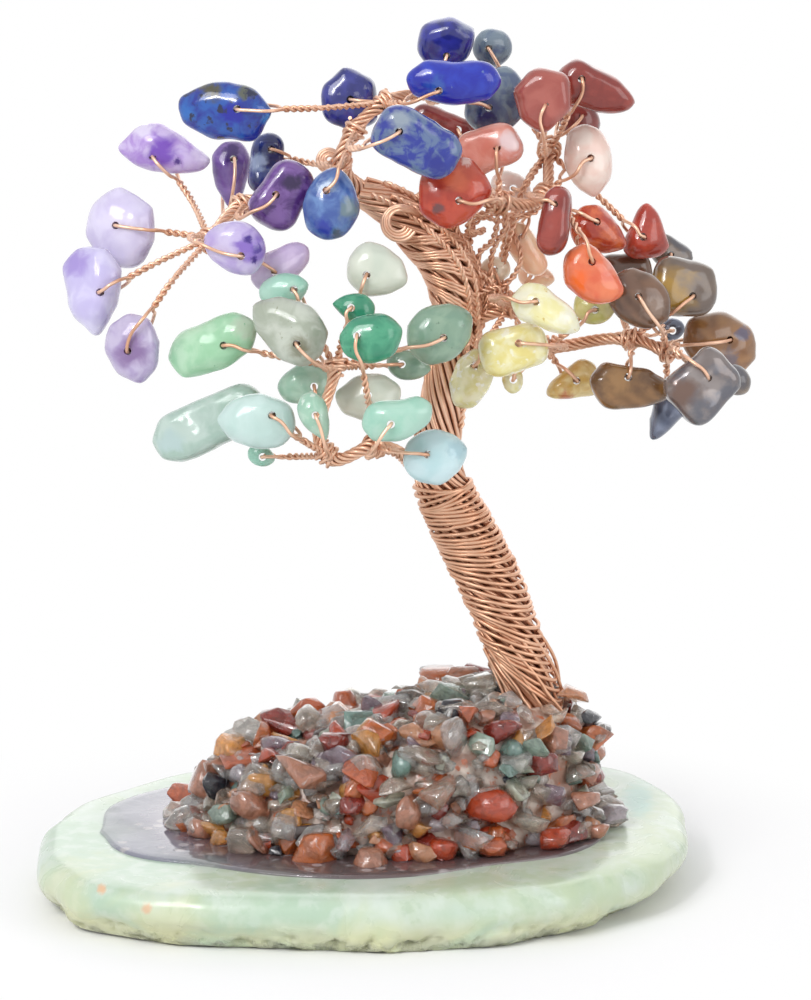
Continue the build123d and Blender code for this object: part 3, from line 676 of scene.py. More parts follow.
winding_thickness = 0.56 * millimetre
lower = winding(0.205, 0.352, 20, 1.5, (-1.05, -0.62))
upper = winding(0.352, 0.462, 18, 4.5, (-0.62, -0.35))
wires("lower_winding", [lower], winding_thickness, "lower_wrap")
wires("upper_winding", [upper], winding_thickness, "upper_wrap")

# %% [markdown]
# Under the windings the wires run down to the root in long slanting lines, and a few of them stand out
# from the trunk in open loops on the right.

# %% Slanting wires at the root
slant_count = 14
slant_lines = []
for count in range(slant_count):
    line = []
    for done, point, out, _, reach in climb(0.05, 0.26, count / slant_count, -0.4, 40):
        bulge = math.sin(math.pi * done) * max(0, out.x) ** 2
        loose = (0.25 + 0.85 * (count % 3)) * bulge * millimetre
        line.append(point + out * (reach + 0.25 * millimetre + loose))
    slant_lines.append(line)
wires("root_wires", slant_lines, wire_thickness)

# %% [markdown]
# A branch is a rope of some of the trunk's wires. It swells to a knot at each fork, where stems leave it,
# and a short winding ties each knot.

# %% Branches
forks = {
    "amethyst": (-0.151, 0.58, 0.03), "amethyst_back": (-0.118, 0.614, -0.004),
    "lapis_low": (-0.022, 0.65, 0.01), "lapis_near": (-0.01, 0.684, 0), "lapis": (0.019, 0.712, -0.01),
    "lapis_top": (0.066, 0.724, -0.05), "jasper_top": (0.183, 0.668, -0.09),
    "jasper": (0.176, 0.622, -0.04), "jasper_near": (0.132, 0.615, 0.01), "citrine": (0.143, 0.513, 0),
    "citrine_low": (0.178, 0.474, -0.03), "tiger": (0.262, 0.482, -0.015),
    "tiger_tip": (0.298, 0.47, 0.005), "green": (-0.028, 0.452, 0.13), "green_low": (-0.034, 0.366, 0.15),
    "green_near": (0.012, 0.375, 0.15),
}
branches = {
    "lapis_branch": [(-0.002, 0.628, 0.004), "lapis_low", "lapis_near", "lapis", "lapis_top"],
    "amethyst_branch": [
        (0, 0.622, 0), (-0.04, 0.624, 0.004), (-0.075, 0.616, 0), "amethyst_back", "amethyst",
    ],
    "jasper_branch": [(0.04, 0.606, 0), (0.075, 0.628, -0.012), "jasper_near", "jasper", "jasper_top"],
    "citrine_branch": [(0.09, 0.494, 0), "citrine"],
    "tiger_branch": [(0.085, 0.462, 0), (0.128, 0.478, -0.03), "citrine_low", "tiger", "tiger_tip"],
    "green_branch": [(0.076, 0.35, 0), (0.055, 0.35, 0.08), "green_near", "green_low", "green"],
}
rope_count, rope_pitch = 6, 6 * millimetre
rope_wire = 0.52 * millimetre
tie_steps = 24


def tie(middle, wrap, slope):
    """A short winding round a knot. The second wrap lies on the first."""
    point, side, across = middle
    line = []
    for step in range(tie_steps + 1):
        angle = math.tau * (step / 13 + 0.4 * wrap)
        spread = (step / tie_steps - 0.5) * 1.5 + math.cos(angle + wrap) * slope + 0.5 * wrap
        outward = turned(side, across, angle) * (1.2 + 0.25 * wrap)
        line.append(point + (outward + side.cross(across) * spread) * millimetre)
    return line


def rope(name, stops):
    """A branch as twisted strands, with a winding round each of its knots."""
    knots = [place(*forks[stop]) for stop in stops if stop in forks]
    line = route([place(*forks.get(stop, stop)) for stop in stops], 24)
    frames = framed(line, Vector((0, 1, 0.2)))
    reach = []
    for index, point in enumerate(line):
        thin = (0.78 - 0.3 * index / len(line)) * millimetre
        near = min((point - knot).length for knot in knots)
        reach.append(thin + 0.45 * millimetre * max(0, 1 - near / (2 * millimetre)))
    lines = [strand(frames, reach, rope_pitch, math.tau * count / rope_count) for count in range(rope_count)]
    lines.append(line)
    for knot in knots:
        middle = min(frames, key=lambda row: (row[0] - knot).length)
        lines += [tie(middle, wrap, pick_bend.uniform(-0.7, 0.7)) for wrap in range(2)]
    wires(name.replace("branch", "rope"), lines, rope_wire, name)


for name, stops in branches.items():
    rope(name, stops)

# %% [markdown]
# At the top the last wires of the bundle are bent back into two small curls, each a flat spiral of a few
# wires that lie side by side.

# %% Curls
upward = Vector((0, math.sin(lean), math.cos(lean)))
curls = [
    ((-0.002, 0.624, -0.004), (-0.035, 0.658, -0.05), 1.5, (-20, 330)),
    ((0.06, 0.598, 0.01), (0.035, 0.594, 0.036), 2.3, (75, 330)),
]
curl_lines = []
for root, middle, radius, (begin, end) in curls:
    for count in range(4):
        places = [place(*root)]
        for step in range(9):
            bent = turned(Vector((1, 0, 0)), upward, math.radians(begin + (end - begin) * step / 8))
            inward = (radius - 0.46 * count * (0.4 + 0.6 * step / 8)) * millimetre
            places.append(place(*middle) + bent * inward + toward * 0.12 * (count % 2) * millimetre)
        curl_lines.append(route(places, 6))
wires("curl_strands", curl_lines, rope_wire, "curls")

# %% [markdown]
# Between the trunk and the stones on the right a loose net of thin twisted wires crosses, where the maker
# led each pair to its stone. They end in the knots of the branches.

# %% Twigs
pick_twig = random.Random(21)
twig_ends = ["jasper_near", "jasper", "jasper_top", "citrine"]
twig_ends += ["citrine_low", "jasper", "jasper_near", "citrine"]
twig_lines = []
for count in range(16):
    share = 0.68 + 0.2 * (count % 8) / 8
    point, side, across = trunk_frame(share)
    leave = point + (side * 0.92 + across * pick_twig.uniform(-0.3, 0.4)) * trunk_reach(share)
    arrive = place(*forks[twig_ends[count % len(twig_ends)]])
    places = [leave]
    for step in (0.28, 0.52, 0.76):
        stray = Vector([pick_twig.uniform(-1, 1) for _ in range(3)]) * 1.9 * millimetre
        places.append(leave.lerp(arrive, step) + stray + upward * 0.6 * millimetre)
    places.append(arrive)
    twig_lines += doubled(route(places, 14), 2.1 * millimetre)
wires("twigs", twig_lines, 0.42 * millimetre)

# %% [markdown]
# Tumbling rounds a stone and polishes it, and the colour runs through it in clouds, veins and specks. One
# recipe makes most of the finishes: two colours in soft patches, then spots and specks over them, under a
# glossy surface that lets some light in.

# %% A recipe for tumbled stone
finishes = {}


def stone(name, body, cloud, size, spots=(), specks=None, glow=0.25, clear=0.0, edge=0.16):
    """Two colours in soft patches, then spots, and then specks of a colour, a size and a share."""
    finish = finishes[name] = Finish(name + "_surface")
    patches = finish.cloud(size, detail=4, distortion=0.6)
    tone = finish.blend(finish.rise(patches, 0.5 - edge, 0.5 + edge), colour(*body), colour(*cloud))
    tone = finish.spotted(tone, spots)
    if specks:
        speck_colour, speck_size, share = specks
        dots = finish.rise(finish.cloud(speck_size, detail=4), 0.72 - share, 0.8 - share)
        tone = finish.blend(dots, tone, colour(*speck_colour))
    soft = finish.cloud(1.8, detail=2)
    finish.set(
        Base_Color=tone,
        Roughness=0.1 + 0.12 * soft,
        Normal=finish.relief(soft, 0.03),
        Subsurface_Weight=glow,
        Subsurface_Radius=(1.0, 1.0, 1.0),
        Subsurface_Scale=1.2 * millimetre,
        Transmission_Weight=clear,
        IOR=1.5,
        Coat_Weight=0.3,
        Coat_Roughness=0.05,
    )


# %% Amethyst
stone(
    "amethyst_crest", (166, 128, 208), (206, 188, 230), 2.4, clear=0.1,
    spots=[
        (-0.2, 0.668, 2.2, (124, 78, 190)), (-0.218, 0.69, 1.5, (222, 212, 238)),
        (-0.156, 0.66, 1.9, (214, 200, 232)), (-0.184, 0.657, 0.5, (78, 44, 134)),
    ],
)
stone(
    "deep_amethyst", (108, 76, 152), (148, 122, 184), 3.2, clear=0.15,
    spots=[(-0.132, 0.668, 1.5, (70, 42, 112))],
)
stone(
    "dark_amethyst", (84, 46, 120), (128, 92, 162), 2, clear=0.15, edge=0.1,
    spots=[(-0.07, 0.632, 1.3, (48, 24, 78))],
)
stone(
    "smoky_amethyst", (196, 186, 214), (170, 154, 196), 3, clear=0.1,
    spots=[(-0.224, 0.468, 2.6, (138, 112, 160))],
)
stone("rose_lavender", (222, 204, 234), (202, 182, 220), 4, clear=0.1)
stone(
    "amethyst_broad", (222, 216, 240), (202, 192, 226), 5, clear=0.1,
    spots=[(-0.21, 0.565, 1.6, (182, 168, 206))],
)
stone(
    "amethyst_pear", (220, 216, 242), (196, 188, 228), 4, clear=0.1,
    spots=[(-0.284, 0.556, 2.4, (164, 146, 210))],
)
stone(
    "amethyst_veined", (200, 190, 222), (180, 162, 214), 3, clear=0.05,
    spots=[
        (-0.11, 0.567, 2.3, (132, 104, 188)), (-0.112, 0.576, 0.6, (66, 42, 132)),
        (-0.103, 0.566, 0.7, (80, 54, 150)), (-0.106, 0.556, 0.5, (70, 44, 130)),
    ],
)

# %% Lapis
stone(
    "lapis_broad", (24, 38, 134), (34, 84, 164), 2.2, specks=((28, 34, 66), 1.4, 0.14), glow=0.05,
    spots=[
        (-0.128, 0.7, 1.7, (20, 26, 146)), (-0.172, 0.7, 1.2, (34, 98, 176)),
        (-0.15, 0.722, 1.5, (74, 72, 56)), (-0.115, 0.721, 1.2, (84, 88, 78)),
        (-0.092, 0.692, 1.0, (56, 120, 190)),
    ],
)
stone("lapis_hexagon", (56, 60, 142), (36, 40, 110), 2.2, specks=((106, 108, 146), 1.1, 0.1), glow=0.05)
stone(
    "pale_lapis", (34, 42, 100), (50, 66, 140), 2.6, glow=0.1,
    spots=[(-0.104, 0.655, 1.3, (164, 182, 216))],
)
stone(
    "lapis_oval", (98, 130, 182), (60, 86, 152), 2.4, glow=0.1,
    spots=[
        (-0.038, 0.588, 1.3, (34, 52, 152)), (-0.014, 0.606, 1.5, (104, 124, 134)),
        (-0.036, 0.628, 1.3, (150, 172, 204)), (-0.026, 0.582, 0.8, (70, 84, 104)),
    ],
)
stone(
    "lapis_block", (36, 50, 142), (92, 112, 148), 1.7, glow=0.05, edge=0.09,
    spots=[(0.036, 0.69, 1.6, (138, 150, 164)), (0.07, 0.65, 1.4, (30, 40, 130))],
)
stone(
    "lapis_bar", (20, 32, 156), (34, 56, 176), 2.4, specks=((92, 112, 170), 1.2, 0.08), glow=0.05,
    spots=[(0.07, 0.727, 1.4, (44, 82, 166))],
)
stone(
    "lapis_grey", (112, 128, 142), (82, 98, 130), 2.4, glow=0.1, edge=0.1,
    spots=[(0.122, 0.706, 2.0, (42, 50, 108))],
)
stone("square_lapis", (46, 50, 146), (32, 36, 110), 2, glow=0.05, spots=[(0.1, 0.79, 1.0, (120, 128, 158))])

# %% Red and orange stones
stone("rose_jasper", (168, 92, 82), (150, 70, 62), 3.5, glow=0.03)
stone("jasper_arrow", (152, 64, 54), (124, 46, 40), 3, glow=0.03)
stone("dark_jasper", (106, 40, 38), (138, 62, 56), 2.5, glow=0.03)
stone("jasper_wedge", (160, 56, 44), (188, 78, 60), 3, glow=0.1)
stone("flame_carnelian", (178, 62, 44), (220, 112, 66), 2.6, clear=0.1)
stone(
    "carnelian_large", (174, 56, 38), (196, 78, 52), 2.8, clear=0.1,
    spots=[
        (0.09, 0.634, 1.7, (220, 104, 66)), (0.072, 0.606, 0.8, (112, 66, 66)),
        (0.108, 0.622, 1.0, (206, 92, 72)), (0.1, 0.652, 0.7, (232, 190, 180)),
    ],
)
stone(
    "carnelian_orange", (238, 134, 92), (226, 104, 68), 3, clear=0.15,
    spots=[(0.246, 0.556, 1.7, (230, 160, 144)), (0.21, 0.538, 1.5, (246, 112, 44))],
)
stone("pale_rose", (242, 226, 216), (238, 208, 196), 3.2, clear=0.05, glow=0.4)
stone(
    "salmon_rose", (216, 130, 112), (230, 162, 146), 3, clear=0.15,
    spots=[(0.143, 0.672, 1.6, (232, 206, 206))],
)
stone("peach", (252, 222, 190), (246, 196, 164), 3, glow=0.4)

# %% Yellow and green stones
stone(
    "citrine_long", (242, 236, 178), (250, 248, 224), 2.2, specks=((214, 186, 96), 1.8, 0.05), clear=0.25,
    spots=[(0.196, 0.5, 1.1, (248, 246, 230))],
)
stone(
    "yellow_citrine", (238, 226, 146), (248, 244, 202), 2, specks=((250, 248, 226), 1.2, 0.12), clear=0.25,
)
stone(
    "citrine_clear", (246, 242, 208), (234, 228, 164), 1.8, specks=((250, 250, 240), 1.0, 0.14), clear=0.35,
)
stone(
    "amber_citrine", (214, 176, 100), (234, 214, 156), 2, clear=0.2,
    spots=[(0.2, 0.424, 1.0, (198, 120, 76))],
)
stone("green_citrine", (208, 206, 122), (232, 228, 168), 2.4, clear=0.25)
stone("pearl", (252, 240, 218), (246, 222, 194), 3, glow=0.4)
stone("emerald_middle", (84, 168, 132), (58, 144, 112), 2.4, specks=((40, 116, 90), 1.4, 0.06), clear=0.15)
stone("sage_round", (148, 174, 152), (124, 156, 136), 3.2, specks=((108, 136, 116), 0.9, 0.05), clear=0.1)
stone(
    "grey_green_broad", (196, 202, 190), (164, 172, 156), 3.6,
    specks=((136, 142, 118), 1.1, 0.05), clear=0.1,
    spots=[(-0.062, 0.47, 1.7, (140, 142, 122))],
)
stone(
    "green_bean", (152, 200, 162), (178, 214, 184), 3.6, specks=((118, 170, 134), 1.1, 0.04), clear=0.05,
    spots=[(-0.116, 0.492, 1.8, (176, 196, 172))],
)
stone(
    "sage_bar", (162, 188, 176), (190, 208, 200), 3.2, clear=0.1,
    spots=[(-0.19, 0.38, 1.8, (180, 202, 200)), (-0.1, 0.43, 1.6, (142, 170, 152))],
)
stone("aqua_egg", (202, 224, 220), (188, 214, 208), 5, clear=0.1)
stone("clear_green", (166, 208, 186), (194, 224, 206), 2.6, specks=((222, 238, 228), 1.2, 0.1), clear=0.25)
stone("milk_jade", (204, 212, 198), (218, 222, 208), 4.5, clear=0.08)
stone("soft_green", (156, 206, 186), (178, 216, 200), 3.6, clear=0.15)
stone("ice", (192, 224, 228), (208, 232, 236), 4, clear=0.15, spots=[(0.09, 0.372, 1.4, (176, 208, 216))])

# %% [markdown]
# Tiger eye is made of fine fibres, so its colours lie in narrow bands that bend a little. A wave texture
# gives the bands, and a cloud bends them.

# %% Banded stones


def banded(name, dark, light, band, width, spots, metal=0.0):
    """Narrow bent bands of two colours, as wide as width, with patches of a third and with spots."""
    finish = finishes[name] = Finish(name + "_surface")
    aslant = {"Vector": finish.here, "Rotation": (0.3, 0.5, 0.9)}
    across = finish.node("ShaderNodeMapping", {"vector_type": "POINT"}, aslant)
    bending = {"Distortion": 5.0, "Detail": 3.0, "Detail Scale": 0.6}
    sockets = {"Vector": across, "Scale": 0.35 / (width * millimetre), **bending}
    bands = finish.node("ShaderNodeTexWave", {"wave_type": "BANDS", "bands_direction": "X"}, sockets)
    patches = finish.cloud(3.5, detail=4)
    tone = finish.blend(bands * 0.75, colour(*dark), colour(*light))
    tone = finish.blend(finish.rise(patches, 0.4, 0.6), tone, colour(*band))
    finish.set(
        Base_Color=finish.spotted(tone, spots),
        Metallic=metal,
        Roughness=0.12 + 0.12 * patches,
        Normal=finish.relief(bands, 0.015),
        Coat_Weight=0.4,
        Coat_Roughness=0.05,
    )


ochre_spots = [(0.302, 0.53, 3.4, (162, 126, 50)), (0.29, 0.52, 1.6, (128, 100, 44))]
violet_spots = [(0.362, 0.462, 1.6, (112, 98, 102)), (0.376, 0.488, 1.1, (96, 88, 106))]
brown_spots = [(0.312, 0.428, 2.4, (110, 86, 76))]
tan_spots, pale_spots = [(0.25, 0.44, 2.4, (150, 112, 68))], [(0.285, 0.51, 1.6, (136, 114, 100))]
banded("tiger_eye_banded", (96, 82, 72), (120, 100, 82), (106, 92, 84), 1.6, ochre_spots)
banded("tiger_eye_dark", (92, 64, 46), (128, 94, 72), (106, 78, 62), 1.4, pale_spots)
banded("tiger_eye_broad", (128, 86, 50), (162, 118, 74), (140, 102, 70), 1.8, violet_spots)
banded("tiger_eye_faceted", (122, 86, 50), (148, 108, 66), (100, 70, 44), 1.6, tan_spots)
banded("grey_eye", (104, 92, 84), (140, 122, 106), (92, 90, 96), 2, [])
banded("silver_hematite", (118, 108, 106), (150, 142, 140), (98, 98, 106), 2.4, brown_spots, metal=0.3)
banded("blue_hematite", (80, 88, 110), (142, 150, 172), (98, 104, 122), 2.4, [], metal=0.3)
print(len(finishes), "stone finishes")

# %% [markdown]
# Now the stones. Each CAD stone is closed over its hole by a convex hull, cut into even small faces by a
# voxel remesh, and rubbed down until its corners are round. A little noise keeps two stones from looking
# alike, and then the hole is drilled again along the wire that passes through it.

# %% Which finish each stone has
# A finish has the name of the node whose one stone it covers. A node with several stones names the finish
# of each by its place on the board.
mixed_shades = {
    "amethyst_small": [
        (-0.132, 0.645, "deep_amethyst"), (-0.08, 0.62, "dark_amethyst"), (-0.225, 0.47, "smoky_amethyst"),
        (-0.081, 0.551, "rose_lavender"),
    ],
    "lapis_small": [
        (-0.097, 0.655, "pale_lapis"), (0.082, 0.774, "square_lapis"), (0.127, 0.772, "lapis_grey"),
    ],
    "jasper_small": [
        (0.177, 0.718, "rose_jasper"), (0.213, 0.701, "dark_jasper"), (0.08, 0.697, "dark_jasper"),
        (0.187, 0.596, "jasper_arrow"), (0.234, 0.588, "flame_carnelian"),
    ],
    "peach_chips": [
        (0.221, 0.657, "pale_rose"), (0.122, 0.667, "salmon_rose"), (0.146, 0.634, "pale_rose"),
        (0.16, 0.571, "peach"), (0.172, 0.545, "peach"),
    ],
    "citrine_small": [
        (0.146, 0.47, "yellow_citrine"), (0.147, 0.44, "yellow_citrine"), (0.206, 0.438, "amber_citrine"),
        (0.228, 0.513, "green_citrine"), (0.128, 0.55, "pearl"),
    ],
    "tiger_eye_small": [
        (0.258, 0.55, "tiger_eye_dark"), (0.307, 0.493, "blue_hematite"), (0.366, 0.44, "grey_eye"),
        (0.306, 0.57, "grey_eye"),
    ],
    "hematite_chips": [(0.332, 0.434, "silver_hematite"), (0.298, 0.408, "blue_hematite")],
    "green_small": [
        (0.014, 0.545, "milk_jade"), (-0.012, 0.509, "emerald_middle"), (0.044, 0.454, "sage_round"),
        (-0.077, 0.526, "soft_green"), (-0.055, 0.436, "clear_green"), (-0.045, 0.402, "clear_green"),
        (0.006, 0.423, "milk_jade"), (0.033, 0.4, "soft_green"), (0.071, 0.364, "ice"),
        (-0.102, 0.366, "soft_green"),
    ],
}

# %% Tumble and drill the stones
stone_voxel = 0.3 * millimetre
full_rubs, crisp_rubs = 52, 24
crisp_nodes = ("jasper_arrow", "jasper_small", "tiger_eye_faceted")
crisp_nodes += ("hematite_chips", "citrine_clear", "lapis_hexagon")
drill_radius = 0.52 * millimetre


def on_board(point):
    """How far right and up the board a point is seen from the front, as shares."""
    return point.x / board, ((point.z - slab_top) * math.cos(lean) + point.y * math.sin(lean)) / board


def tumbled(corners, bump, rubs):
    """One stone of the model, closed, evened and rubbed round."""
    closed = as_mesh("closed", hull([corner.co for corner in corners]))
    shape = evened(closed, stone_voxel, rubs)
    for corner in shape.verts:
        wide = noise.noise(corner.co / (4.5 * millimetre) + Vector((bump, 0, 0)))
        near = noise.noise(corner.co / (1.7 * millimetre) + Vector((0, bump, 0)))
        corner.co += corner.normal * (0.3 + 0.42 * wide + 0.1 * near) * millimetre
    return as_mesh("tumbled", shape)


def drilled(mesh):
    """The stone with a hole along each wire that passes through it."""
    low = Vector(map(min, zip(*(corner.co for corner in mesh.vertices))))
    high = Vector(map(max, zip(*(corner.co for corner in mesh.vertices))))
    drills = bmesh.new()
    size = {"segments": 18, "radius1": drill_radius, "radius2": drill_radius}
    for front, back in holes:
        middle = (front + back) / 2
        if all(low[axis] < middle[axis] < high[axis] for axis in range(3)):
            depth = (front - back).length + 0.1 * millimetre
            spot = Matrix.Translation(middle) @ (front - back).to_track_quat("Z", "Y").to_matrix().to_4x4()
            bmesh.ops.create_cone(drills, cap_ends=True, depth=depth, matrix=spot, **size)
    drill = bpy.data.objects.new("drill", as_mesh("drill", drills))
    scene.collection.objects.link(drill)
    made = modified(mesh, "BOOLEAN", operation="DIFFERENCE", solver="EXACT", object=drill)
    bpy.data.objects.remove(drill)
    return made


stone_nodes = sorted({*mixed_shades, *finishes} & set(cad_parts))
for count, node in enumerate(stone_nodes):
    rows = mixed_shades.get(node, [(0, 0, node)])
    rubs = crisp_rubs if node in crisp_nodes else full_rubs
    source, stones = merged(node), bmesh.new()
    for corners in solids(source):
        right, up = on_board(middle_of(corners))
        gaps = [math.hypot(right - row[0], up - row[1]) for row in rows]
        mesh = drilled(tumbled(corners, count * 7.3, rubs))
        for polygon in mesh.polygons:
            polygon.material_index = gaps.index(min(gaps))
        stones.from_mesh(mesh)
    source.free()
    mesh = as_mesh(node + "_stones", stones)
    keep(node + "_stones", mesh, [finishes[row[2]] for row in rows], node, node)
    mesh.set_sharp_from_angle(angle=math.radians(60))
    print(node, len(mesh.polygons), "faces")

# %% [markdown]
# The heap is broken, barely tumbled gravel, glassy and wet with resin. Real chips differ in colour from one
# to the next, so each kind of stone has a few finishes, and every chip takes one of them.

# %% Gravel finishes


def gravel_finish(name, tone, clear, glow):
    finish = Finish(name)
    streak = finish.cloud(1.8, detail=4, distortion=1.0)
    ripples = finish.cloud(0.9, detail=3, distortion=1.5)
    darker = colour(*(value * 0.82 for value in tone))
    shade = finish.blend(finish.rise(streak, 0.34, 0.6), darker, colour(*tone))
    shade = finish.blend(finish.rise(streak, 0.64, 0.78) * 0.5, shade, white)
    finish.set(
        Base_Color=shade,
        Roughness=0.02 + 0.06 * streak,
        Normal=finish.relief(ripples, 0.2),
        Subsurface_Weight=glow,
        Subsurface_Radius=(1.0, 1.0, 1.0),
        Subsurface_Scale=1.0 * millimetre,
        Transmission_Weight=clear,
        IOR=1.4,
        Coat_Weight=1.0,
        Coat_Roughness=0.02,
    )
    return finish


# Of each kind: its share of the chips, how clear it is, how much light sinks in, and its tones.
gravel_kinds = {
    "red": (0.17, 0.45, 0.1, [(208, 80, 42), (216, 108, 60), (158, 56, 44), (204, 140, 112)]),
    "clear": (
        0.56, 0.82, 0.05,
        [(252, 248, 242), (246, 234, 220), (254, 252, 250), (238, 220, 204), (250, 242, 228)],
    ),
    "orange": (0.13, 0.55, 0.1, [(230, 124, 60), (242, 172, 90), (236, 168, 124)]),
    "green": (0.07, 0.6, 0.1, [(180, 204, 188), (218, 222, 202), (146, 182, 172)]),
    "violet": (0.04, 0.7, 0.05, [(224, 214, 222), (178, 156, 172)]),
    "black": (0.03, 0.1, 0.0, [(34, 34, 44), (84, 70, 68)]),
}
chip_shares, gravel = {}, {}
for name, (share, clear, sunk, tones) in gravel_kinds.items():
    chip_shares[name] = share
    gravel[name] = [gravel_finish(f"{name}_{count}", tone, clear, sunk) for count, tone in enumerate(tones)]

# %% [markdown]
# A chip is the hull of a few points near an ellipsoid, with its edges worn by a bevel: a few dozen faces
# that catch the light one by one. The model's own chips are rounded the same way, and new ones fill in.

# %% Chips of gravel
pick = random.Random(11)
slump_shares = [(-0.2, 1.0), (-0.15, 0.86), (-0.11, 0.8), (-0.065, 0.74)]
slump_shares += [(-0.01, 0.74), (0.045, 0.86), (0.09, 1.0)]


def slumped(point):
    """The model's heap is fuller than the photograph's left of the trunk, so points there come down."""
    right, share = point.x / board, 1.0
    for (begin, low), (end, high) in zip(slump_shares, slump_shares[1:]):
        if begin < right < end:
            share = low + (high - low) * (right - begin) / (end - begin)
    return Vector((point.x, point.y, film_top + (point.z - film_top) * share))


core_shape = merged("heap_core")
bmesh.ops.subdivide_edges(core_shape, edges=core_shape.edges, cuts=3, use_grid_fill=True)
for corner in core_shape.verts:
    corner.co = slumped(corner.co)
core_tree = BVHTree.FromBMesh(core_shape)
core_low, core_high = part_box("heap_core")
core_middle = (core_low + core_high) / 2
nearly_flat = math.radians(9)
chip_corners = 11
chip_wear = 0.12  # of its size


def chip_mesh(points, wear):
    """A mesh of the hull of some points, with worn edges."""
    chip = hull(points)
    bmesh.ops.dissolve_limit(chip, angle_limit=nearly_flat, verts=chip.verts, edges=chip.edges)
    bmesh.ops.bevel(
        chip, geom=list(chip.edges), offset=wear, segments=1, profile=0.5, affect="EDGES", material=-1,
        clamp_overlap=True,
    )
    bmesh.ops.recalc_face_normals(chip, faces=chip.faces)
    return as_mesh("chip", chip)


def add_chip(name, mesh):
    """Adds a chip to the heap of its kind, in one of that kind's finishes."""
    tone = pick.randrange(len(gravel[name]))
    for polygon in mesh.polygons:
        polygon.material_index = tone
    heaps[name].from_mesh(mesh)


def new_chip(name, size, position):
    """A chip turned at random round its place."""
    turn = Matrix.Rotation(pick.uniform(0, math.tau), 3, "Z")
    turn = turn @ Matrix.Rotation(pick.uniform(0, math.tau), 3, "X")
    form = Vector((1.25, pick.uniform(0.65, 1.0), pick.uniform(0.5, 0.85))) * size / 2
    points = []
    for _ in range(chip_corners):
        ray = Vector([pick.gauss(0, 1) for _ in range(3)]).normalized()
        points.append(position + turn @ Vector((ray.x * form.x, ray.y * form.y, ray.z * form.z)))
    add_chip(name, chip_mesh(points, size * chip_wear))


heaps = {name: bmesh.new() for name in gravel}
for name in gravel:
    source = merged("gravel_" + name)
    for corners in solids(source):
        middle = middle_of(corners)
        points = []
        for corner in corners:
            chance = noise.noise_vector(corner.co / (2 * millimetre)) * 0.9 * millimetre
            points.append(slumped(middle) + (corner.co - middle) * 0.9 + chance)
        add_chip(name, chip_mesh(points, 0.6 * millimetre))
    source.free()

# %% Fill the heap
chip_count = 760
large_count = 420  # sizes shrink over so many chips and then stay
largest, shrunk = 6.4 * millimetre, 3.6 * millimetre  # the later a chip, the smaller
trunk_foot = trunk_frame(0.1)[0]
foot_radius = 3.6 * millimetre
upright = Vector((0, 0, 1))


def seat_from_above():
    """A random place on the heap or at its foot, and which way is out from it."""
    angle, reach = pick.uniform(0, math.tau), math.sqrt(pick.random()) * 1.1
    half = (core_high - core_low) / 2
    x = core_middle.x + math.cos(angle) * reach * half.x
    y = core_middle.y + math.sin(angle) * reach * half.y
    found, normal, _, _ = core_tree.ray_cast(Vector((x, y, 1)), -upright)
    return (found, normal) if found else (Vector((x, y, film_top)), upright)


def seat_from_beside():
    """A random place on the heap's steep side."""
    angle = pick.uniform(0, math.tau)
    inward = Vector((-math.cos(angle), -math.sin(angle), 0))
    level = film_top + pick.uniform(0.04, 0.95) * (core_high.z - film_top)
    start = Vector((core_middle.x, core_middle.y, level)) - inward * 60 * millimetre
    found, normal, _, _ = core_tree.ray_cast(start, inward)
    return (found, normal) if found else seat_from_above()


for count in range(chip_count):
    seat, normal = seat_from_beside() if count % 5 > 2 else seat_from_above()
    size = largest - shrunk * min(1, count / large_count) * pick.uniform(0.6, 1)
    position = seat + normal * size * pick.uniform(0.12, 0.42)
    if (position - trunk_foot).xy.length < foot_radius + size * 0.35:
        continue
    position.z = max(position.z, film_top + size * 0.2)
    name = pick.choices(list(chip_shares), list(chip_shares.values()))[0]
    new_chip(name, size, position)

# %% [markdown]
# Some chips give the heap its outline and are placed one by one: tall clear ones to the left of the trunk, a
# black one against it, and amber, clear and dark ones down the right side. Each is named by where it is seen
# on the board, and sits on the part of the heap that is seen there, or on the nearest part of it.

# %% Chips placed one by one
set_chips = [  # kind, right, up, and size in millimetres
    ("clear", 0.05, 0.128, 5.4), ("clear", 0.1, 0.136, 5.2), ("clear", 0.064, 0.118, 5.6),
    ("clear", 0.09, 0.122, 5.0), ("clear", 0.112, 0.112, 5.6), ("orange", 0.052, 0.09, 5.0),
    ("clear", 0.084, 0.147, 5.6), ("clear", 0.066, 0.132, 6.4), ("clear", 0.101, 0.15, 5.0),
    ("clear", 0.118, 0.143, 5.4), ("black", 0.141, 0.131, 6.6), ("red", 0.044, 0.112, 5.0),
    ("clear", 0.026, 0.134, 6.0), ("violet", 0.0, 0.126, 6.0), ("clear", -0.035, 0.12, 6.0),
    ("clear", -0.06, 0.116, 5.6), ("red", -0.09, 0.106, 6.2), ("clear", -0.115, 0.094, 6.0),
    ("orange", 0.198, 0.119, 6.6), ("black", 0.226, 0.107, 5.4), ("clear", 0.244, 0.098, 5.6),
    ("clear", 0.166, 0.138, 5.2), ("clear", 0.184, 0.128, 4.6), ("clear", 0.178, 0.126, 5.0),
    ("red", 0.154, 0.12, 5.2), ("clear", 0.13, 0.118, 5.2), ("orange", 0.228, 0.086, 5.4),
    ("green", 0.166, 0.08, 6.2), ("clear", 0.075, 0.036, 7.6), ("red", -0.065, 0.05, 8.2),
    ("orange", -0.1, 0.042, 5.4), ("violet", -0.02, -0.012, 5.0), ("violet", 0.024, -0.01, 5.2),
    ("red", -0.136, 0.055, 6.2),
]
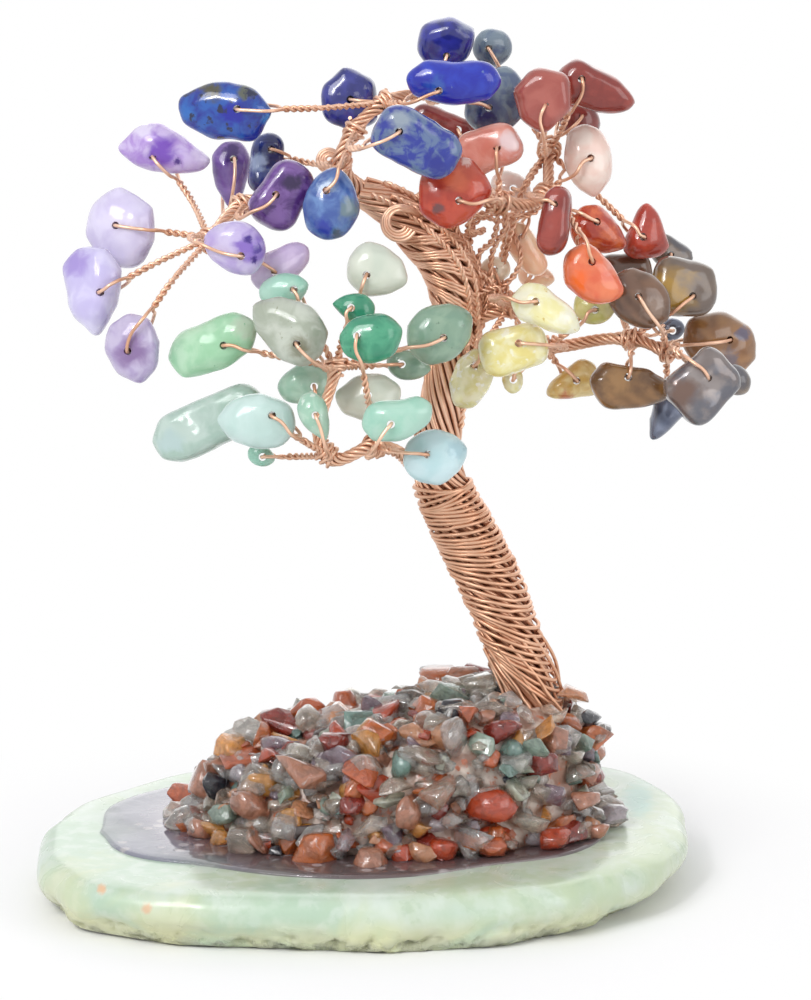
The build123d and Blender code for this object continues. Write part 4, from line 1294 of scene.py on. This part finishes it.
for name, right, up, width in set_chips:
    size = width * millimetre
    seat = core_tree.ray_cast(place(right, up, 0.6), -toward)[0]
    if seat:
        position = seat + toward * size * 0.42
    else:
        seat = core_tree.find_nearest(place(right, up, 0.0))[0]
        outward = place(right, up, 0.0) - seat
        position = seat + outward.normalized() * min(outward.length, size * 0.4)
    position.z = max(position.z, film_top + size * 0.2)
    new_chip(name, size, position)
for name, shape in heaps.items():
    mesh = as_mesh(name + "_gravel", shape)
    keep(name + "_gravel", mesh, gravel[name], "gravel_" + name, "gravel_" + name)
    mesh.set_sharp_from_angle(angle=math.radians(48))
    print(name, len(mesh.polygons), "faces")

# %% [markdown]
# Between the chips the wet resin and the stones under it show as a brown and grey shimmer, darkened by
# painted shade so that the gaps between the chips read as shadow.

# %% The heap's core
core = Finish("wet_core")
lumps = core.cloud(3, detail=4)
flecks = core.cloud(1.2, detail=3)
# The core's tones are the resin's own brown, darkened as painted shade in the gaps between chips.
core_tone_and_gap_shade = core.blend(core.rise(lumps, 0.4, 0.6), colour(164, 128, 112), colour(222, 206, 194))
core_tone_and_gap_shade = core.blend(core.rise(flecks, 0.55, 0.65), core_tone_and_gap_shade, colour(190, 110, 78))
core.set(Base_Color=core_tone_and_gap_shade, Roughness=0.12, Normal=core.relief(lumps, 0.6))
keep("wet_core", as_mesh("wet_core", core_shape), [core], "heap_core", "heap_core")

# %% [markdown]
# The resin has run out round the heap in a thin puddle with a rounded rim. It is clear enough to show the
# slab, browner near the heap, and holds a few small bubbles.

# %% Resin puddle
puddle_shares = [(-0.98, -0.2), (-0.86, -0.62), (-0.56, -0.84), (-0.22, -1.04), (0.18, -1.05), (0.5, -0.84)]
puddle_shares += [(0.88, -0.54), (0.97, 0.08), (0.78, 0.68), (0.2, 0.96), (-0.48, 0.84), (-0.92, 0.38)]
rim_steps = ((0.04, 0.3), (0.14, 0.14), (0.4, 0.1), (1.2, 0.05))  # inward and up, in millimetres
film_low, film_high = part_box("glue_film")
film_middle, film_half = (film_low + film_high) / 2, (film_high - film_low) / 2
film_foot = film_low.z - 0.15 * millimetre
rim = []
for right, back in puddle_shares:
    rim.append(Vector((film_middle.x + film_half.x * right, film_middle.y + film_half.y * back, film_foot)))
outline = route([*rim, rim[0]], 10)[:-1]
puddle = bmesh.new()
foot = puddle.faces.new([puddle.verts.new(point) for point in outline])
raised = bmesh.ops.extrude_face_region(puddle, geom=[foot], use_keep_orig=True)["geom"]
top = [part for part in raised if isinstance(part, bmesh.types.BMFace)][0]
bmesh.ops.translate(puddle, verts=top.verts, vec=(0, 0, 0.05 * millimetre))
for inward, rise in rim_steps:
    bmesh.ops.inset_region(puddle, faces=[top], thickness=inward * millimetre, depth=rise * millimetre)
bmesh.ops.recalc_face_normals(puddle, faces=puddle.faces)

resin = Finish("resin")
murk = resin.cloud(8, detail=4)
from_heap = 1 - resin.rise(resin.vector("DISTANCE", resin.here, core_middle, output="Value"), 0.027, 0.037)
lilac = resin.near(-0.2, 0.022, 12, wild=1.4)
resin_tone = resin.blend(from_heap, colour(134, 132, 154), colour(100, 80, 82))
bubbles = resin.node("ShaderNodeTexVoronoi", {}, {"Vector": resin.here, "Scale": 1 / (2.4 * millimetre)})
spots = (1 - resin.rise(bubbles, 0.2, 0.4)) * resin.rise(resin.cloud(5), 0.42, 0.56)
resin_tone = resin.blend(spots * 0.7, resin_tone, colour(196, 188, 190))
resin.set(
    Base_Color=resin_tone,
    Roughness=0.05 + 0.05 * murk,
    Alpha=0.14 + 0.6 * from_heap + 0.56 * lilac + 0.14 * murk,
    Normal=resin.relief(murk, 0.3),
    IOR=1.5,
    Coat_Weight=0.6,
    Coat_Roughness=0.03,
)
keep("resin_puddle", as_mesh("resin_puddle", puddle), [resin], "glue_film", "glue_film")

# %% [markdown]
# The slab is a slice of pale onyx: green, yellow and milky white run into each other in soft clouds, and
# light sinks into it a little. Its top edge is polished round. Its lower rim was left as it broke, so there
# the stone is cut into even faces, pitted by a noise, and greyed.

# %% Slab
slab = evened(as_mesh("slab", merged("base_slab")), 0.7 * millimetre, 16)
for corner in slab.verts:
    height = corner.co.z / slab_top
    if corner.normal.z > 0.9 or height < 0.02:
        continue
    low = max(0, 1 - abs(height - 0.14) / 0.36)
    pits = noise.noise(corner.co / (1.9 * millimetre)) + 0.6 * noise.noise(corner.co / (0.9 * millimetre))
    waves = noise.noise(corner.co / (8 * millimetre) + Vector((3, 0, 0)))
    inward = low * (0.3 + 2.1 * max(0, pits) + 2.2 * max(0, waves)) + 0.9 * max(0, waves)
    corner.co -= Vector((corner.normal.x, corner.normal.y, 0.25 * corner.normal.z)) * inward * millimetre

yellow_spots = [
    (-0.3, -0.07, 0.16, 8, (208, 212, 168)), (-0.2, -0.1, 0.26, 7, (208, 210, 168)),
    (0.02, -0.12, 0.28, 6, (202, 210, 168)), (0.24, -0.09, 0.22, 7, (190, 204, 168)),
    (0.3, -0.03, 0.1, 6, (194, 208, 174)), (0.12, -0.1, 0.3, 7, (176, 200, 176)),
    (-0.1, -0.08, 0.3, 8, (180, 202, 180)),
]
small_spots = [(-0.256, -0.057, 0.7, (224, 176, 134)), (-0.211, -0.075, 0.8, (218, 178, 144))]
small_spots += [(0.276, 0.02, 2.2, (156, 200, 188))]
onyx = Finish("onyx")
wide = onyx.cloud(26, detail=3, distortion=0.4)
milk = onyx.cloud(10, detail=6, distortion=0.8)
fine_clouds = onyx.cloud(2.6, detail=5)
level = onyx.height()
onyx_tone = onyx.blend(onyx.rise(wide, 0.36, 0.66), colour(176, 199, 178), colour(190, 204, 174))
onyx_tone = onyx.blend(onyx.rise(milk, 0.4, 0.7) * 0.9, onyx_tone, colour(200, 213, 202))
onyx_tone = onyx.blend(onyx.rise(fine_clouds, 0.46, 0.66) * 0.45, onyx_tone, colour(210, 220, 212))
onyx_tone = onyx.blend((1 - onyx.rise(fine_clouds, 0.28, 0.42)) * 0.5, onyx_tone, colour(168, 190, 162))
onyx_tone = onyx.spotted(onyx_tone, yellow_spots, 0.55)
onyx_tone = onyx.spotted(onyx_tone, small_spots, 0.8, wild=1)
low_down = (1 - onyx.rise(level, 1.5 * millimetre, 6 * millimetre)) * onyx.rise(milk, 0.3, 0.55)
onyx_tone = onyx.blend(low_down * 0.6, onyx_tone, colour(212, 208, 160))
rim_shade = (1 - onyx.rise(level, 0.6 * millimetre, 2.6 * millimetre)) * onyx.rise(fine_clouds, 0.42, 0.6)
onyx_tone = onyx.blend(rim_shade * 0.7, onyx_tone, colour(158, 162, 142))
onyx.set(
    Base_Color=onyx_tone,
    Roughness=0.2 + 0.14 * milk + 0.45 * rim_shade,
    Normal=onyx.relief(fine_clouds * rim_shade, 0.8),
    Subsurface_Weight=0.3,
    Subsurface_Radius=(1.0, 1.0, 1.0),
    Subsurface_Scale=2.5 * millimetre,
    Coat_Weight=0.25,
    Coat_Roughness=0.12,
)
keep("onyx_slab", as_mesh("onyx_slab", slab), [onyx], "base_slab", "base_slab")
